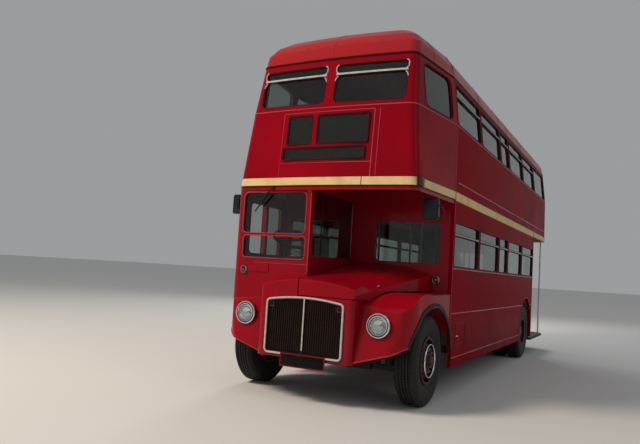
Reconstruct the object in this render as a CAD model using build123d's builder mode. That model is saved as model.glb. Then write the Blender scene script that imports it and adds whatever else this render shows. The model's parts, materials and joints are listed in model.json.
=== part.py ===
from build123d import *
import math
import os

os.makedirs("parts", exist_ok=True)

# A half-cab double decker bus with an open rear platform, in millimetres.
# +X is the nearside (kerb side), -Y the front, +Z up from the road.

# Overall sizes
overall_length = 9144.0
half_width = 1219.0
overall_height = 4380.0
wheelbase = 5842.0

# Where the main frames stand along the body
nose_y = -overall_length / 2
tail_y = overall_length / 2
front_overhang = 895.0
bulkhead_behind_axle = 537.0
front_axle_y = nose_y + front_overhang
rear_axle_y = front_axle_y + wheelbase
bulkhead_y = front_axle_y + bulkhead_behind_axle
full_bay = 1315.0
half_bay = 710.0
bays = (full_bay, full_bay, half_bay, full_bay, full_bay)
pillar_y = [bulkhead_y]
for bay in bays:
    pillar_y.append(pillar_y[-1] + bay)
rear_bulkhead_y = pillar_y[-1]
corner_start_y = tail_y - 272.0

# Heights
skirt_z = 370.0
platform_z = 340.0
saloon_floor_z = 670.0
lower_sill_z = 1585.0
lower_head_z = 2125.0
band_low_z = 2390.0
band_high_z = 2493.0
ceiling_z = 2490.0
upper_floor_z = 2535.0
upper_sill_z = 3335.0
upper_head_z = 3850.0
gutter_z = 3930.0

# Thicknesses and clearances
wall = 45.0
roof_wall = 40.0
slab = 45.0
sheet = 20.0
pane = 6.0
pane_setback = 20.0
seat_fit = 0.3
run_gap = 10.0

# Plan outlines of the body: half width at the bulkhead, half width at the front corner,
# reach of the corner and of the nose ahead of the bulkhead, and how far the tail is drawn in
front_radius = 110.0
rear_radius = 240.0
lower_plan = (half_width, 1140.0, 1190.0, 1205.0, 25.0)
# height, then the five plan sizes
upper_levels = (
    (band_low_z, half_width, 1140.0, 1190.0, 1240.0, 25.0),
    (3308.0, 1207.0, 1050.0, 1118.0, 1165.0, 25.0),
    (gutter_z, 1135.0, 1000.0, 1012.0, 1065.0, 50.0),
)


def plan_face(z, plan, inset, nose_round=front_radius, tail_round=rear_radius):
    """One level section of the body: tapered front bay, bowed nose and round corners."""
    half, corner_half, corner_reach, nose_reach, tail_in = plan
    side = half - inset
    corner_x = corner_half - inset
    corner_y = bulkhead_y - corner_reach + inset
    front_y = bulkhead_y - nose_reach + inset
    back_y = tail_y - tail_in - inset
    with BuildSketch(Plane.XY.offset(z)) as section:
        with BuildLine():
            Polyline(
                (-corner_x, corner_y),
                (-side, bulkhead_y),
                (-side, back_y),
                (side, back_y),
                (side, bulkhead_y),
                (corner_x, corner_y),
            )
            ThreePointArc((corner_x, corner_y), (0, front_y), (-corner_x, corner_y))
        make_face()
        front_to_back = section.vertices().sort_by(Axis.Y)
        fillet(front_to_back[:2], nose_round - inset)
        front_to_back = section.vertices().sort_by(Axis.Y)
        fillet(front_to_back[-2:], tail_round - inset)
    return section.sketch


def upper_body(inset):
    """The upper deck as a solid block, its sides leaning in above the sill."""
    faces = [plan_face(level[0], level[1:], inset) for level in upper_levels]
    with BuildPart() as block:
        loft(faces, ruled=True)
    return block.part


def lower_body(inset):
    """The lower deck as a solid block, from the platform's underside to the band."""
    with BuildPart() as block:
        with BuildSketch(Plane.XY.offset(platform_z - slab)):
            add(plan_face(0, lower_plan, inset))
        extrude(amount=band_low_z - platform_z + slab)
    return block.part


def box_between(x0, x1, y0, y1, z0, z1, mode=Mode.ADD):
    """A block from its lowest to its highest corner."""
    with Locations(((x0 + x1) / 2, (y0 + y1) / 2, (z0 + z1) / 2)):
        return Box(x1 - x0, y1 - y0, z1 - z0, mode=mode)


def save(name, piece):
    piece.part.label = name
    export_step(piece.part, f"parts/{name}.step")


# Windows: every opening is a rounded rectangle, low and high edge along the wall, sill and head
window_radius = 55.0
light_radius = 30.0
pillar_half = 48.0
rail_height = 26.0
lower_light = 150.0
upper_light = 150.0


def split_window(a0, a1, sill, head, light):
    """A tall pane with a shallow opening light over it, parted by a rail."""
    rail_z = head - light
    return (
        (a0, a1, sill, rail_z - rail_height / 2, window_radius),
        (a0, a1, rail_z + rail_height / 2, head, light_radius),
    )


saloon_bays = []
for front_pillar, back_pillar in zip(pillar_y[:-1], pillar_y[1:]):
    saloon_bays.append((front_pillar + pillar_half, back_pillar - pillar_half))
lower_windows = []
upper_windows = []
for bay_start, bay_end in saloon_bays:
    lower_windows += split_window(bay_start, bay_end, lower_sill_z, lower_head_z, lower_light)
    upper_windows += split_window(bay_start, bay_end, upper_sill_z, upper_head_z, upper_light)
quarter_window = (bulkhead_y - 860.0, bulkhead_y - 110.0, upper_sill_z + 10.0, upper_head_z, 95.0)
rear_quarter_start = rear_bulkhead_y + pillar_half
upper_windows.append((rear_quarter_start, corner_start_y - 60.0, upper_sill_z, upper_head_z, window_radius))

# Front and rear windows: low x, high x, sill, head, radius
front_upper_windows = (
    (-930.0, -58.0, 3365.0, 3700.0, 70.0),
    (58.0, 930.0, 3365.0, 3700.0, 70.0),
    (-930.0, -58.0, 3726.0, 3830.0, 40.0),
    (58.0, 930.0, 3726.0, 3830.0, 40.0),
)
rear_upper_windows = (
    (-560.0, -20.0, upper_sill_z, upper_head_z - 20, 80.0),
    (20.0, 560.0, upper_sill_z, upper_head_z - 20, 80.0),
)
windscreen = ((-1030.0, -165.0, 1838.0, 2325.0, 60.0), (-1010.0, -155.0, 1545.0, 1810.0, 45.0))
rear_lower_window = ((-860.0, -180.0, 1560.0, 2080.0, 60.0),)
front_bulkhead_windows = ((200.0, 1060.0, 1610.0, 2110.0, 60.0), (-1060.0, -330.0, 1610.0, 2110.0, 60.0))
rear_bulkhead_windows = ((480.0, 1050.0, 1500.0, 2110.0, 60.0), (-1050.0, -480.0, 1500.0, 2110.0, 60.0))
cab_inner_window = ((bulkhead_y - 900.0, bulkhead_y - 200.0, 1640.0, 2240.0, 60.0),)
cab_fixed_window = ((bulkhead_y - 500.0, bulkhead_y - 90.0, 1600.0, 2240.0, 60.0),)


def side_cutters(windows, reach=1400.0):
    """Window openings cut straight through from flank to flank."""
    with BuildPart() as cutters:
        for low, high, sill, head, radius in windows:
            with BuildSketch(Plane.YZ.offset(-reach)):
                with Locations(((low + high) / 2, (sill + head) / 2)):
                    RectangleRounded(high - low, head - sill, radius)
            extrude(amount=2 * reach)
    return cutters.part


def front_cutters(windows, y0, y1):
    """Window openings cut through a front or rear wall lying between two y values."""
    with BuildPart() as cutters:
        for low, high, sill, head, radius in windows:
            with BuildSketch(Plane.XZ.offset(-y1)):
                with Locations(((low + high) / 2, (sill + head) / 2)):
                    RectangleRounded(high - low, head - sill, radius)
            extrude(amount=y1 - y0)
    return cutters.part


# Wheels and arches
tyre_radius = 505.0
tyre_width = 262.0
front_arch_radius = 645.0
rear_arch_radius = 655.0
arch_wall = 22.0
arch_inner_x = 590.0
rear_arch_inner_x = 620.0
rear_cover_radius = 560.0
front_track_x = 1030.0
rear_outer_x = 1062.0
rear_inner_x = 772.0
kingpin_x = 880.0


def arch_cutter(axle_y, radius, inner_x):
    """The space a wheel needs on both sides, outwards from the arch's inner wall."""
    with BuildPart() as space:
        for side in (-1, 1):
            with BuildSketch(Plane.YZ.offset(side * inner_x)):
                with Locations((axle_y, tyre_radius)):
                    Circle(radius)
            extrude(amount=side * (1300.0 - inner_x))
    return space.part


front_arch = arch_cutter(front_axle_y, front_arch_radius, arch_inner_x)
rear_arch = arch_cutter(rear_axle_y, rear_arch_radius, rear_arch_inner_x)
rear_wheel_space = arch_cutter(rear_axle_y, rear_cover_radius, rear_arch_inner_x)

# Body shells that the wall panels are cut from
with BuildPart() as upper_shell:
    add(upper_body(0))
    add(upper_body(wall), mode=Mode.SUBTRACT)

with BuildPart() as lower_shell:
    add(lower_body(0))
    add(lower_body(wall), mode=Mode.SUBTRACT)

side_window_cutters = side_cutters(lower_windows + upper_windows)
quarter_cutters = side_cutters([quarter_window])

# Upper deck sides
far = 1400.0
with BuildPart() as upper_side_near:
    add(upper_shell.part)
    box_between(0, far, bulkhead_y, corner_start_y, band_low_z, gutter_z, Mode.INTERSECT)
    box_between(0, far, bulkhead_y, rear_bulkhead_y, band_low_z, band_high_z, Mode.SUBTRACT)
    add(side_window_cutters, mode=Mode.SUBTRACT)
save("upper_side_near", upper_side_near)

with BuildPart() as upper_side_off:
    add(upper_shell.part)
    box_between(-far, 0, bulkhead_y, corner_start_y, band_high_z, gutter_z, Mode.INTERSECT)
    add(side_window_cutters, mode=Mode.SUBTRACT)
save("upper_side_off", upper_side_off)

# Front of the upper deck, with the openings for its windows and its three display boxes
display_openings = (
    (-490.0, -170.0, 2885.0, 3225.0, 12.0),
    (-100.0, 540.0, 2885.0, 3225.0, 12.0),
    (-525.0, 515.0, 2700.0, 2840.0, 12.0),
)
front_zone_y = bulkhead_y - 1300.0
with BuildPart() as upper_front:
    add(upper_shell.part)
    box_between(-far, far, front_zone_y, bulkhead_y, band_low_z, gutter_z, Mode.INTERSECT)
    add(front_cutters(front_upper_windows, front_zone_y, bulkhead_y - 900.0), mode=Mode.SUBTRACT)
    add(front_cutters(display_openings, front_zone_y, bulkhead_y - 900.0), mode=Mode.SUBTRACT)
    add(quarter_cutters, mode=Mode.SUBTRACT)
save("upper_front", upper_front)

# Rear of the upper deck with the emergency window and the rear display opening
rear_display = ((-430.0, 430.0, 2700.0, 2930.0, 12.0),)
with BuildPart() as upper_rear:
    add(upper_shell.part)
    box_between(-far, far, corner_start_y, tail_y, band_low_z, gutter_z, Mode.INTERSECT)
    add(front_cutters(rear_upper_windows, corner_start_y, tail_y + 10), mode=Mode.SUBTRACT)
    add(front_cutters(rear_display, corner_start_y, tail_y + 10), mode=Mode.SUBTRACT)
save("upper_rear", upper_rear)

# Roof: level sections drawn in along a quarter ellipse give the domes and the cove
roof_spread = 640.0
roof_rise = overall_height - gutter_z
roof_steps = (0.0, 0.3, 0.56, 0.77, 0.91, 0.98, 1.0)


def roof_block(inset, rise):
    gutter_plan = upper_levels[-1][1:]
    half, corner_half, corner_reach, nose_reach, tail_in = gutter_plan
    faces = []
    for step in roof_steps:
        draw_in = inset + roof_spread * (1 - math.sqrt(1 - step * step))
        taper = (half - corner_half) * (1 - 0.5 * step)
        plan = (half, half - taper, corner_reach, nose_reach, tail_in)
        rounding = front_radius + 0.2 * draw_in + draw_in
        tail_rounding = rear_radius + 0.1 * draw_in + draw_in
        faces.append(plan_face(gutter_z + rise * step, plan, draw_in, rounding, tail_rounding))
    with BuildPart() as block:
        loft(faces, ruled=True)
    return block.part


with BuildPart() as roof:
    add(roof_block(0, roof_rise))
    add(roof_block(roof_wall, roof_rise - roof_wall), mode=Mode.SUBTRACT)
save("roof", roof)

# Lower deck sides
with BuildPart() as lower_side_near:
    add(lower_shell.part)
    box_between(0, far, bulkhead_y, rear_bulkhead_y, skirt_z, band_low_z, Mode.INTERSECT)
    box_between(half_width - wall, half_width, bulkhead_y, rear_bulkhead_y, band_low_z, band_high_z)
    add(side_window_cutters, mode=Mode.SUBTRACT)
    add(front_arch, mode=Mode.SUBTRACT)
    add(rear_arch, mode=Mode.SUBTRACT)
save("lower_side_near", lower_side_near)

with BuildPart() as lower_side_off:
    add(lower_shell.part)
    box_between(-far, 0, bulkhead_y, corner_start_y, platform_z, band_low_z, Mode.INTERSECT)
    box_between(-far, 0, bulkhead_y, rear_bulkhead_y, 0, skirt_z, Mode.SUBTRACT)
    box_between(-half_width, -half_width + wall, bulkhead_y, corner_start_y, band_low_z, band_high_z)
    add(side_window_cutters, mode=Mode.SUBTRACT)
    add(front_arch, mode=Mode.SUBTRACT)
    add(rear_arch, mode=Mode.SUBTRACT)
save("lower_side_off", lower_side_off)

# Rear wall of the lower deck: from the offside corner to the edge of the platform's opening
platform_edge_x = 130.0
with BuildPart() as lower_rear_wall:
    add(lower_shell.part)
    box_between(-far, platform_edge_x, corner_start_y, tail_y, platform_z, band_low_z, Mode.INTERSECT)
    add(front_cutters(rear_lower_window, corner_start_y, tail_y + 10), mode=Mode.SUBTRACT)
save("lower_rear_wall", lower_rear_wall)

# Bulkheads
inner_half = half_width - wall
doorway_half = 330.0
with BuildPart() as front_bulkhead:
    box_between(-inner_half, inner_half, bulkhead_y, bulkhead_y + wall, saloon_floor_z - slab, ceiling_z)
    add(front_cutters(front_bulkhead_windows, bulkhead_y - 5, bulkhead_y + wall + 5), mode=Mode.SUBTRACT)
    add(front_arch, mode=Mode.SUBTRACT)
save("front_bulkhead", front_bulkhead)

with BuildPart() as rear_bulkhead:
    box_between(
        -inner_half, inner_half, rear_bulkhead_y - wall, rear_bulkhead_y, saloon_floor_z, ceiling_z
    )
    box_between(
        -doorway_half,
        doorway_half,
        rear_bulkhead_y - wall,
        rear_bulkhead_y,
        saloon_floor_z,
        2380.0,
        Mode.SUBTRACT,
    )
    add(
        front_cutters(rear_bulkhead_windows, rear_bulkhead_y - wall - 5, rear_bulkhead_y + 5),
        mode=Mode.SUBTRACT,
    )
save("rear_bulkhead", rear_bulkhead)

# Lower saloon floor, with covers over the wheels and cross bearers beneath
floor_front_y = bulkhead_y + wall
floor_rear_y = rear_bulkhead_y
bearer_depth = 110.0
bearer_width = 60.0
bearer_pitch = 500.0
bearer_y = []
for step in range(12):
    y = floor_front_y + 250.0 + bearer_pitch * step
    if abs(y - rear_axle_y) > 400.0:
        bearer_y.append(y)
with BuildPart() as wheel_covers:
    for side in (-1, 1):
        # inner face, y of the axle, radius and y limits of each cover over a wheel
        for inner_x, axle_y, radius, y0, y1 in (
            (arch_inner_x, front_axle_y, front_arch_radius, floor_front_y, 0.0),
            (rear_arch_inner_x, rear_axle_y, rear_cover_radius, 0.0, rear_bulkhead_y - wall),
        ):
            with BuildPart(mode=Mode.PRIVATE) as cover:
                with BuildSketch(Plane.YZ.offset(side * (inner_x - arch_wall))):
                    with Locations((axle_y, tyre_radius)):
                        Circle(radius + arch_wall)
                extrude(amount=side * (inner_half - inner_x + arch_wall))
                if axle_y == rear_axle_y:
                    with BuildSketch(Plane.YZ.offset(side * (inner_half - arch_wall))):
                        with Locations((axle_y, tyre_radius)):
                            Circle(rear_arch_radius + 2 * arch_wall)
                    extrude(amount=side * arch_wall)
                with BuildSketch(Plane.YZ.offset(side * inner_x)):
                    with Locations((axle_y, tyre_radius)):
                        Circle(radius)
                extrude(amount=side * far, mode=Mode.SUBTRACT)
                box_between(-far, far, y0, y1, saloon_floor_z + seat_fit, ceiling_z, Mode.INTERSECT)
            add(cover.part)

with BuildPart() as lower_floor:
    box_between(
        -inner_half, inner_half, floor_front_y, floor_rear_y, saloon_floor_z - slab, saloon_floor_z
    )
    for y in bearer_y:
        box_between(
            -inner_half,
            inner_half,
            y,
            y + bearer_width,
            saloon_floor_z - slab - bearer_depth,
            saloon_floor_z - slab,
        )
    add(front_arch, mode=Mode.SUBTRACT)
    add(rear_wheel_space, mode=Mode.SUBTRACT)
    add(wheel_covers.part)
save("lower_floor", lower_floor)

# Rear platform, one step below the saloon floor, with the step's riser
with BuildPart() as rear_platform:
    with BuildSketch(Plane.XY.offset(platform_z - slab)):
        add(plan_face(0, lower_plan, 0))
    extrude(amount=slab)
    box_between(-far, far, nose_y, rear_bulkhead_y, 0, platform_z, Mode.SUBTRACT)
    box_between(
        -inner_half, inner_half, rear_bulkhead_y, rear_bulkhead_y + sheet, platform_z, saloon_floor_z
    )
save("rear_platform", rear_platform)

# Upper deck floor with its stairwell over the offside rear
stair_inner_x = -480.0
stair_top_y = rear_bulkhead_y + 25.0
stairwell_end_y = 4250.0
with BuildPart() as upper_floor:
    add(upper_body(wall))
    box_between(-far, far, nose_y, tail_y, ceiling_z, upper_floor_z, Mode.INTERSECT)
    box_between(-far, stair_inner_x, stair_top_y, stairwell_end_y, ceiling_z, upper_floor_z, Mode.SUBTRACT)
save("upper_floor", upper_floor)

# Front wings: a leaning face with a lamp, a top that falls away to the outer corner, and an
# open underside over the wheel
cowl_half = 590.0
wing_shelf_z = 1245.0
wing_foot_z = 490.0
wing_foot_y = bulkhead_y - 1350.0
wing_wall = 25.0
wing_roll = 35.0
# y and height of the top's crest, of a point on its arc, of the arc's end and of the rear edge
wing_inner_top = (
    (bulkhead_y - 1220.0, 1115.0),
    (bulkhead_y - 1030.0, 1192.0),
    (bulkhead_y - 680.0, 1245.0),
    (bulkhead_y, 1270.0),
)
wing_outer_top = (
    (bulkhead_y - 1230.0, 985.0),
    (bulkhead_y - 1080.0, 1150.0),
    (bulkhead_y - 640.0, 1236.0),
    (bulkhead_y, wing_shelf_z),
)
# plan of the outer edge: where the front face ends, a point of the corner's arc, its end, the side
wing_plan = (
    (880.0, bulkhead_y - 1340.0),
    (1062.0, bulkhead_y - 1224.0),
    (1165.0, bulkhead_y - 920.0),
    (1195.0, bulkhead_y - 660.0),
    (half_width - 4.0, bulkhead_y),
)
lamp_x = 829.0
lamp_z = 902.0
lamp_radius = 134.0
bowl_radius = 118.0
bowl_length = 105.0
cowl_back_y = bulkhead_y - 1190.0


def wing_block(side, inset=0.0, lift=0.0, reach=0.0):
    """The wing's form under its top: inset for its hollow, lifted for the bonnet's hem."""
    sections = [(cowl_half + inset, wing_inner_top), (half_width, wing_outer_top)]
    if reach:
        sections.insert(0, (cowl_half - reach, wing_inner_top))
    faces = []
    for x, top in sections:
        crest, middle, shelf, rear = [(y, z + lift - inset) for y, z in top]
        crest = (crest[0] + inset, crest[1])
        with BuildSketch(Plane.YZ.offset(side * x)) as section:
            with BuildLine():
                ThreePointArc(crest, middle, shelf)
                Polyline(
                    shelf,
                    rear,
                    (bulkhead_y, wing_foot_z),
                    (wing_foot_y + inset, wing_foot_z),
                    crest,
                )
            make_face()
        faces.append(section.sketch)
    with BuildPart() as block:
        loft(faces, ruled=True)
    return block.part


def wing_outline(side, inset=0.0):
    """The wing's plan as a tall block."""
    start, corner, end, flank, rear = [(side * (x - inset), y + inset) for x, y in wing_plan]
    with BuildPart() as block:
        with BuildSketch(Plane.XY.offset(wing_foot_z - 10)):
            with BuildLine():
                ThreePointArc(start, corner, end)
                Polyline(
                    end,
                    flank,
                    (rear[0], bulkhead_y),
                    (side * cowl_half, bulkhead_y),
                    (side * cowl_half, wing_foot_y - 10),
                    start,
                )
            make_face()
        extrude(amount=900)
    return block.part


with BuildPart() as wing_forms:
    for side in (-1, 1):
        with BuildPart(mode=Mode.PRIVATE) as form:
            add(wing_block(side))
            crest = form.edges().sort_by(Axis.Y)[:4].sort_by(Axis.Z)[-1]
            fillet(crest, wing_roll)
            add(wing_outline(side), mode=Mode.INTERSECT)
            with BuildSketch(Plane.XZ.offset(-(front_axle_y - 100))):
                with BuildLine():
                    Polyline(
                        (side * cowl_half, 400),
                        (side * cowl_half, 495),
                        (side * 980, 610),
                        (side * half_width, 740),
                        (side * half_width, 400),
                        close=True,
                    )
                make_face()
            extrude(amount=1000, mode=Mode.SUBTRACT)
            if side < 0:
                box_between(
                    -far, -cowl_half, cowl_back_y, bulkhead_y, wing_shelf_z, ceiling_z, Mode.SUBTRACT
                )
        add(form.part)

with BuildPart() as front_wings:
    add(wing_forms.part)
    for side in (-1, 1):
        with BuildPart(mode=Mode.PRIVATE) as hollow:
            add(wing_block(side, inset=wing_wall))
            add(wing_outline(side, inset=wing_wall), mode=Mode.INTERSECT)
            with BuildSketch(Plane.YZ.offset(side * arch_inner_x)):
                with Locations((front_axle_y, tyre_radius)):
                    Circle(front_arch_radius + arch_wall)
            extrude(amount=side * far, mode=Mode.SUBTRACT)
        add(hollow.part, mode=Mode.SUBTRACT)
        with BuildSketch(Plane.XZ.offset(-cowl_back_y)):
            with Locations((side * lamp_x, lamp_z)):
                Circle(bowl_radius + seat_fit)
        extrude(amount=300, mode=Mode.SUBTRACT)
    add(front_arch, mode=Mode.SUBTRACT)
save("front_wings", front_wings)

# Front cowl: the nose between the wings, with the grille's opening. Its crowned crest runs on
# across the bonnet, and the offside part rises from it to the cab
cowl_front_y = nose_y + 27.0
cowl_low_z = 466.0
cowl_wall = 35.0
cowl_corner = 70.0
crest_roll = 22.0
bonnet_left_x = -88.0
cowl_split_x = bonnet_left_x - 12.0
bonnet_seat_z = 1148.0
bonnet_seat_gap = 8.0
crown_top_z = 1332.0
crown_radius = 2057.0
crown_rise = 36.6
grille_half = 479.0
grille_low_z = 498.0
grille_shoulder_z = 1095.0
grille_crown_z = 1140.0
grille_corner = 50.0


def grille_outline(inset):
    """The grille's outline: upright sides, level foot and a slightly crowned top."""
    half = grille_half - inset
    with BuildSketch(Plane.XZ) as outline:
        with BuildLine():
            Polyline(
                (half, grille_shoulder_z - inset),
                (half, grille_low_z + inset),
                (-half, grille_low_z + inset),
                (-half, grille_shoulder_z - inset),
            )
            ThreePointArc(
                (-half, grille_shoulder_z - inset),
                (0, grille_crown_z - inset),
                (half, grille_shoulder_z - inset),
            )
        make_face()
        fillet(outline.vertices(), grille_corner - inset)
    return outline.sketch


def crown(x, rise=0.0):
    """A point of the nose's crowned crest, or of the crown as much higher as rise."""
    return (x, crown_top_z + rise - x * x / (2 * crown_radius))


def cowl_crown(inset):
    """The offside part of the nose above the bonnet's seat, or its hollow."""
    faces = []
    for y, edge_x, rise in ((cowl_front_y + inset, 575.0, 0.0), (cowl_back_y, 584.0, crown_rise)):
        edge = crown(inset - edge_x, rise - inset)
        middle = crown(-330.0, rise - inset)
        split = crown(cowl_split_x - inset, rise - inset)
        foot_z = bonnet_seat_z - 2 * inset
        with BuildSketch(Plane.XZ.offset(-y)) as section:
            with BuildLine():
                ThreePointArc(split, middle, edge)
                Polyline(
                    edge,
                    (inset - cowl_half, edge[1] - 90),
                    (inset - cowl_half, foot_z),
                    (split[0], foot_z),
                    split,
                )
            make_face()
        faces.append(section.sketch)
    with BuildPart() as block:
        loft(faces, ruled=True)
    return block.part


with BuildPart() as front_cowl:
    box_between(-cowl_half, cowl_half, cowl_front_y, cowl_back_y, cowl_low_z, bonnet_seat_z)
    add(cowl_crown(0.0))
    crest = front_cowl.edges().filter_by_position(Axis.Y, cowl_front_y - 1, cowl_front_y + 1)
    fillet(crest.sort_by(Axis.Z)[-1], crest_roll)
    with BuildPart(mode=Mode.PRIVATE) as rounded:
        box_between(-cowl_half, cowl_half, cowl_front_y, cowl_back_y, cowl_low_z, ceiling_z)
        fillet(rounded.edges().filter_by(Axis.Z).sort_by(Axis.Y)[:2], cowl_corner)
    add(rounded.part, mode=Mode.INTERSECT)
    box_between(
        -cowl_half + cowl_wall,
        cowl_half - cowl_wall,
        cowl_front_y + cowl_wall,
        cowl_back_y,
        cowl_low_z,
        bonnet_seat_z - cowl_wall,
        Mode.SUBTRACT,
    )
    add(cowl_crown(cowl_wall), mode=Mode.SUBTRACT)
    with BuildSketch(Plane.XZ.offset(-(cowl_front_y + cowl_wall))):
        add(grille_outline(14.0))
    extrude(amount=100, mode=Mode.SUBTRACT)
save("front_cowl", front_cowl)

# Radiator grille: a surround, a centre strip and upright bars
grille_frame = 28.0
bar_width = 5.0
bar_pitch = 27.0
bar_depth = 10.0
strip_half = 9.0
with BuildPart() as radiator_grille:
    with BuildSketch(Plane.XZ.offset(-cowl_front_y)):
        add(grille_outline(0))
        add(grille_outline(grille_frame), mode=Mode.SUBTRACT)
    extrude(amount=cowl_front_y - nose_y)
    bar_count = int((grille_half - grille_frame) / bar_pitch)
    with BuildPart(mode=Mode.PRIVATE) as bars:
        box_between(
            -strip_half, strip_half, nose_y + 4, cowl_front_y, grille_low_z + 4, grille_crown_z - 4
        )
        for number in range(1, bar_count + 1):
            for side in (-1, 1):
                middle = side * number * bar_pitch
                box_between(
                    middle - bar_width / 2,
                    middle + bar_width / 2,
                    cowl_front_y - bar_depth,
                    cowl_front_y,
                    grille_low_z + 4,
                    grille_crown_z,
                )
        with BuildSketch(Plane.XZ.offset(-cowl_front_y)):
            add(grille_outline(grille_frame - 4))
        extrude(amount=60, mode=Mode.INTERSECT)
    add(bars.part)
save("radiator_grille", radiator_grille)

# Cab: front wall with the windscreen, offside wall with the door opening
cab_inner_x = -100.0
cab_corner_y = bulkhead_y - 1040.0
cab_low_z = 1050.0
cab_floor_z = 1275.0
cab_floor_low_z = 1250.0
door_open = (bulkhead_y - 1000.0, bulkhead_y - 540.0, 1300.0, 2300.0, 60.0)
with BuildPart() as cab_front:
    add(lower_shell.part)
    box_between(-far, cab_inner_x, nose_y, cab_corner_y, cab_low_z, band_low_z, Mode.INTERSECT)
    add(front_cutters(windscreen, nose_y, cab_corner_y), mode=Mode.SUBTRACT)
    add(front_cowl.part, mode=Mode.SUBTRACT)
    add(wing_forms.part, mode=Mode.SUBTRACT)
save("cab_front", cab_front)

with BuildPart() as cab_off_side:
    add(lower_shell.part)
    box_between(-far, -1000, cab_corner_y, bulkhead_y, cab_low_z, band_low_z, Mode.INTERSECT)
    add(side_cutters([door_open]), mode=Mode.SUBTRACT)
    add(side_cutters(cab_fixed_window), mode=Mode.SUBTRACT)
    add(wing_forms.part, mode=Mode.SUBTRACT)
    add(front_arch, mode=Mode.SUBTRACT)
save("cab_off_side", cab_off_side)

# Sizes of the cab door, which slides back inside the wall on a low rail
door_gap = 6.0
door_depth = 28.0
door_slide = (bulkhead_y - 1025.0, bulkhead_y - 515.0)
door_travel = 470.0
rail_top_z = cab_floor_z + 10.0
door_outer = lower_body(wall + door_gap)
door_inner = lower_body(wall + door_gap + door_depth)
with BuildPart() as door_rail:
    add(door_outer)
    add(door_inner, mode=Mode.SUBTRACT)
    box_between(
        -far, -900, door_slide[0], door_slide[1] + door_travel, cab_floor_z, rail_top_z, Mode.INTERSECT
    )

cab_inside = lower_body(wall)
with BuildPart() as cab_floor_and_side:
    box_between(-far, cab_inner_x, nose_y, bulkhead_y, cab_floor_low_z, cab_floor_z)
    box_between(cab_inner_x - 40, cab_inner_x, nose_y, bulkhead_y, cab_floor_low_z, band_low_z)
    add(cab_inside, mode=Mode.INTERSECT)
    box_between(
        cab_inner_x - 40, cab_inner_x, bulkhead_y - 1140, bulkhead_y, band_low_z, ceiling_z
    )
    with BuildSketch(Plane.YZ.offset(cab_inner_x - 60)):
        for low, high, sill, head, radius in cab_inner_window:
            with Locations(((low + high) / 2, (sill + head) / 2)):
                RectangleRounded(high - low, head - sill, radius)
    extrude(amount=80, mode=Mode.SUBTRACT)
    add(wing_forms.part, mode=Mode.SUBTRACT)
    add(door_rail.part)
save("cab_floor_and_side", cab_floor_and_side)

# Cab door: slides back inside the wall
with BuildPart() as cab_door:
    add(door_outer)
    add(door_inner, mode=Mode.SUBTRACT)
    box_between(-far, -900, door_slide[0], door_slide[1], rail_top_z + seat_fit, 2335, Mode.INTERSECT)
    with BuildSketch(Plane.YZ.offset(-far)):
        with Locations(((door_slide[0] + door_slide[1]) / 2, 1915.0)):
            RectangleRounded(door_slide[1] - door_slide[0] - 120, 620, 60)
    extrude(amount=600, mode=Mode.SUBTRACT)
save("cab_door", cab_door)

# Bonnet: hinged along the cab, with the crest's front lip and a ridge on the nearside below
# which its flank widens towards the bulkhead
bonnet_back_y = bulkhead_y - 12.0
# y, then x and height of the hinge edge, the crown's middle, the ridge, the shoulder and the hem
bonnet_sections = (
    (
        cowl_front_y,
        (crown(bonnet_left_x), crown(240.0), crown(573.0), (587.0, 1190.0), (590.0, 1000.0)),
    ),
    (
        bonnet_back_y,
        ((bonnet_left_x, 1575.0), (300.0, 1568.0), (691.0, 1547.0), (972.0, 1465.0), (962.0, 1150.0)),
    ),
)
bonnet_low_z = 900.0


def bonnet_block(thickness):
    """The bonnet's outer form, or its hollow when a thickness is given."""
    faces = []
    for y, (left, middle, ridge, shoulder, hem) in bonnet_sections:
        left = (left[0] + thickness, left[1] - thickness)
        middle = (middle[0], middle[1] - thickness)
        ridge = (ridge[0] - thickness / 2, ridge[1] - thickness)
        shoulder = (shoulder[0] - thickness, shoulder[1] - thickness)
        hem = (hem[0] - thickness, hem[1])
        plane_y = y + thickness if y == cowl_front_y else y
        with BuildSketch(Plane.XZ.offset(-plane_y)) as section:
            with BuildLine():
                ThreePointArc(left, middle, ridge)
                Polyline(
                    ridge, shoulder, hem, (hem[0], bonnet_low_z), (left[0], bonnet_low_z), left
                )
            make_face()
        faces.append(section.sketch)
    with BuildPart() as block:
        loft(faces, ruled=True)
    return block.part


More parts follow.
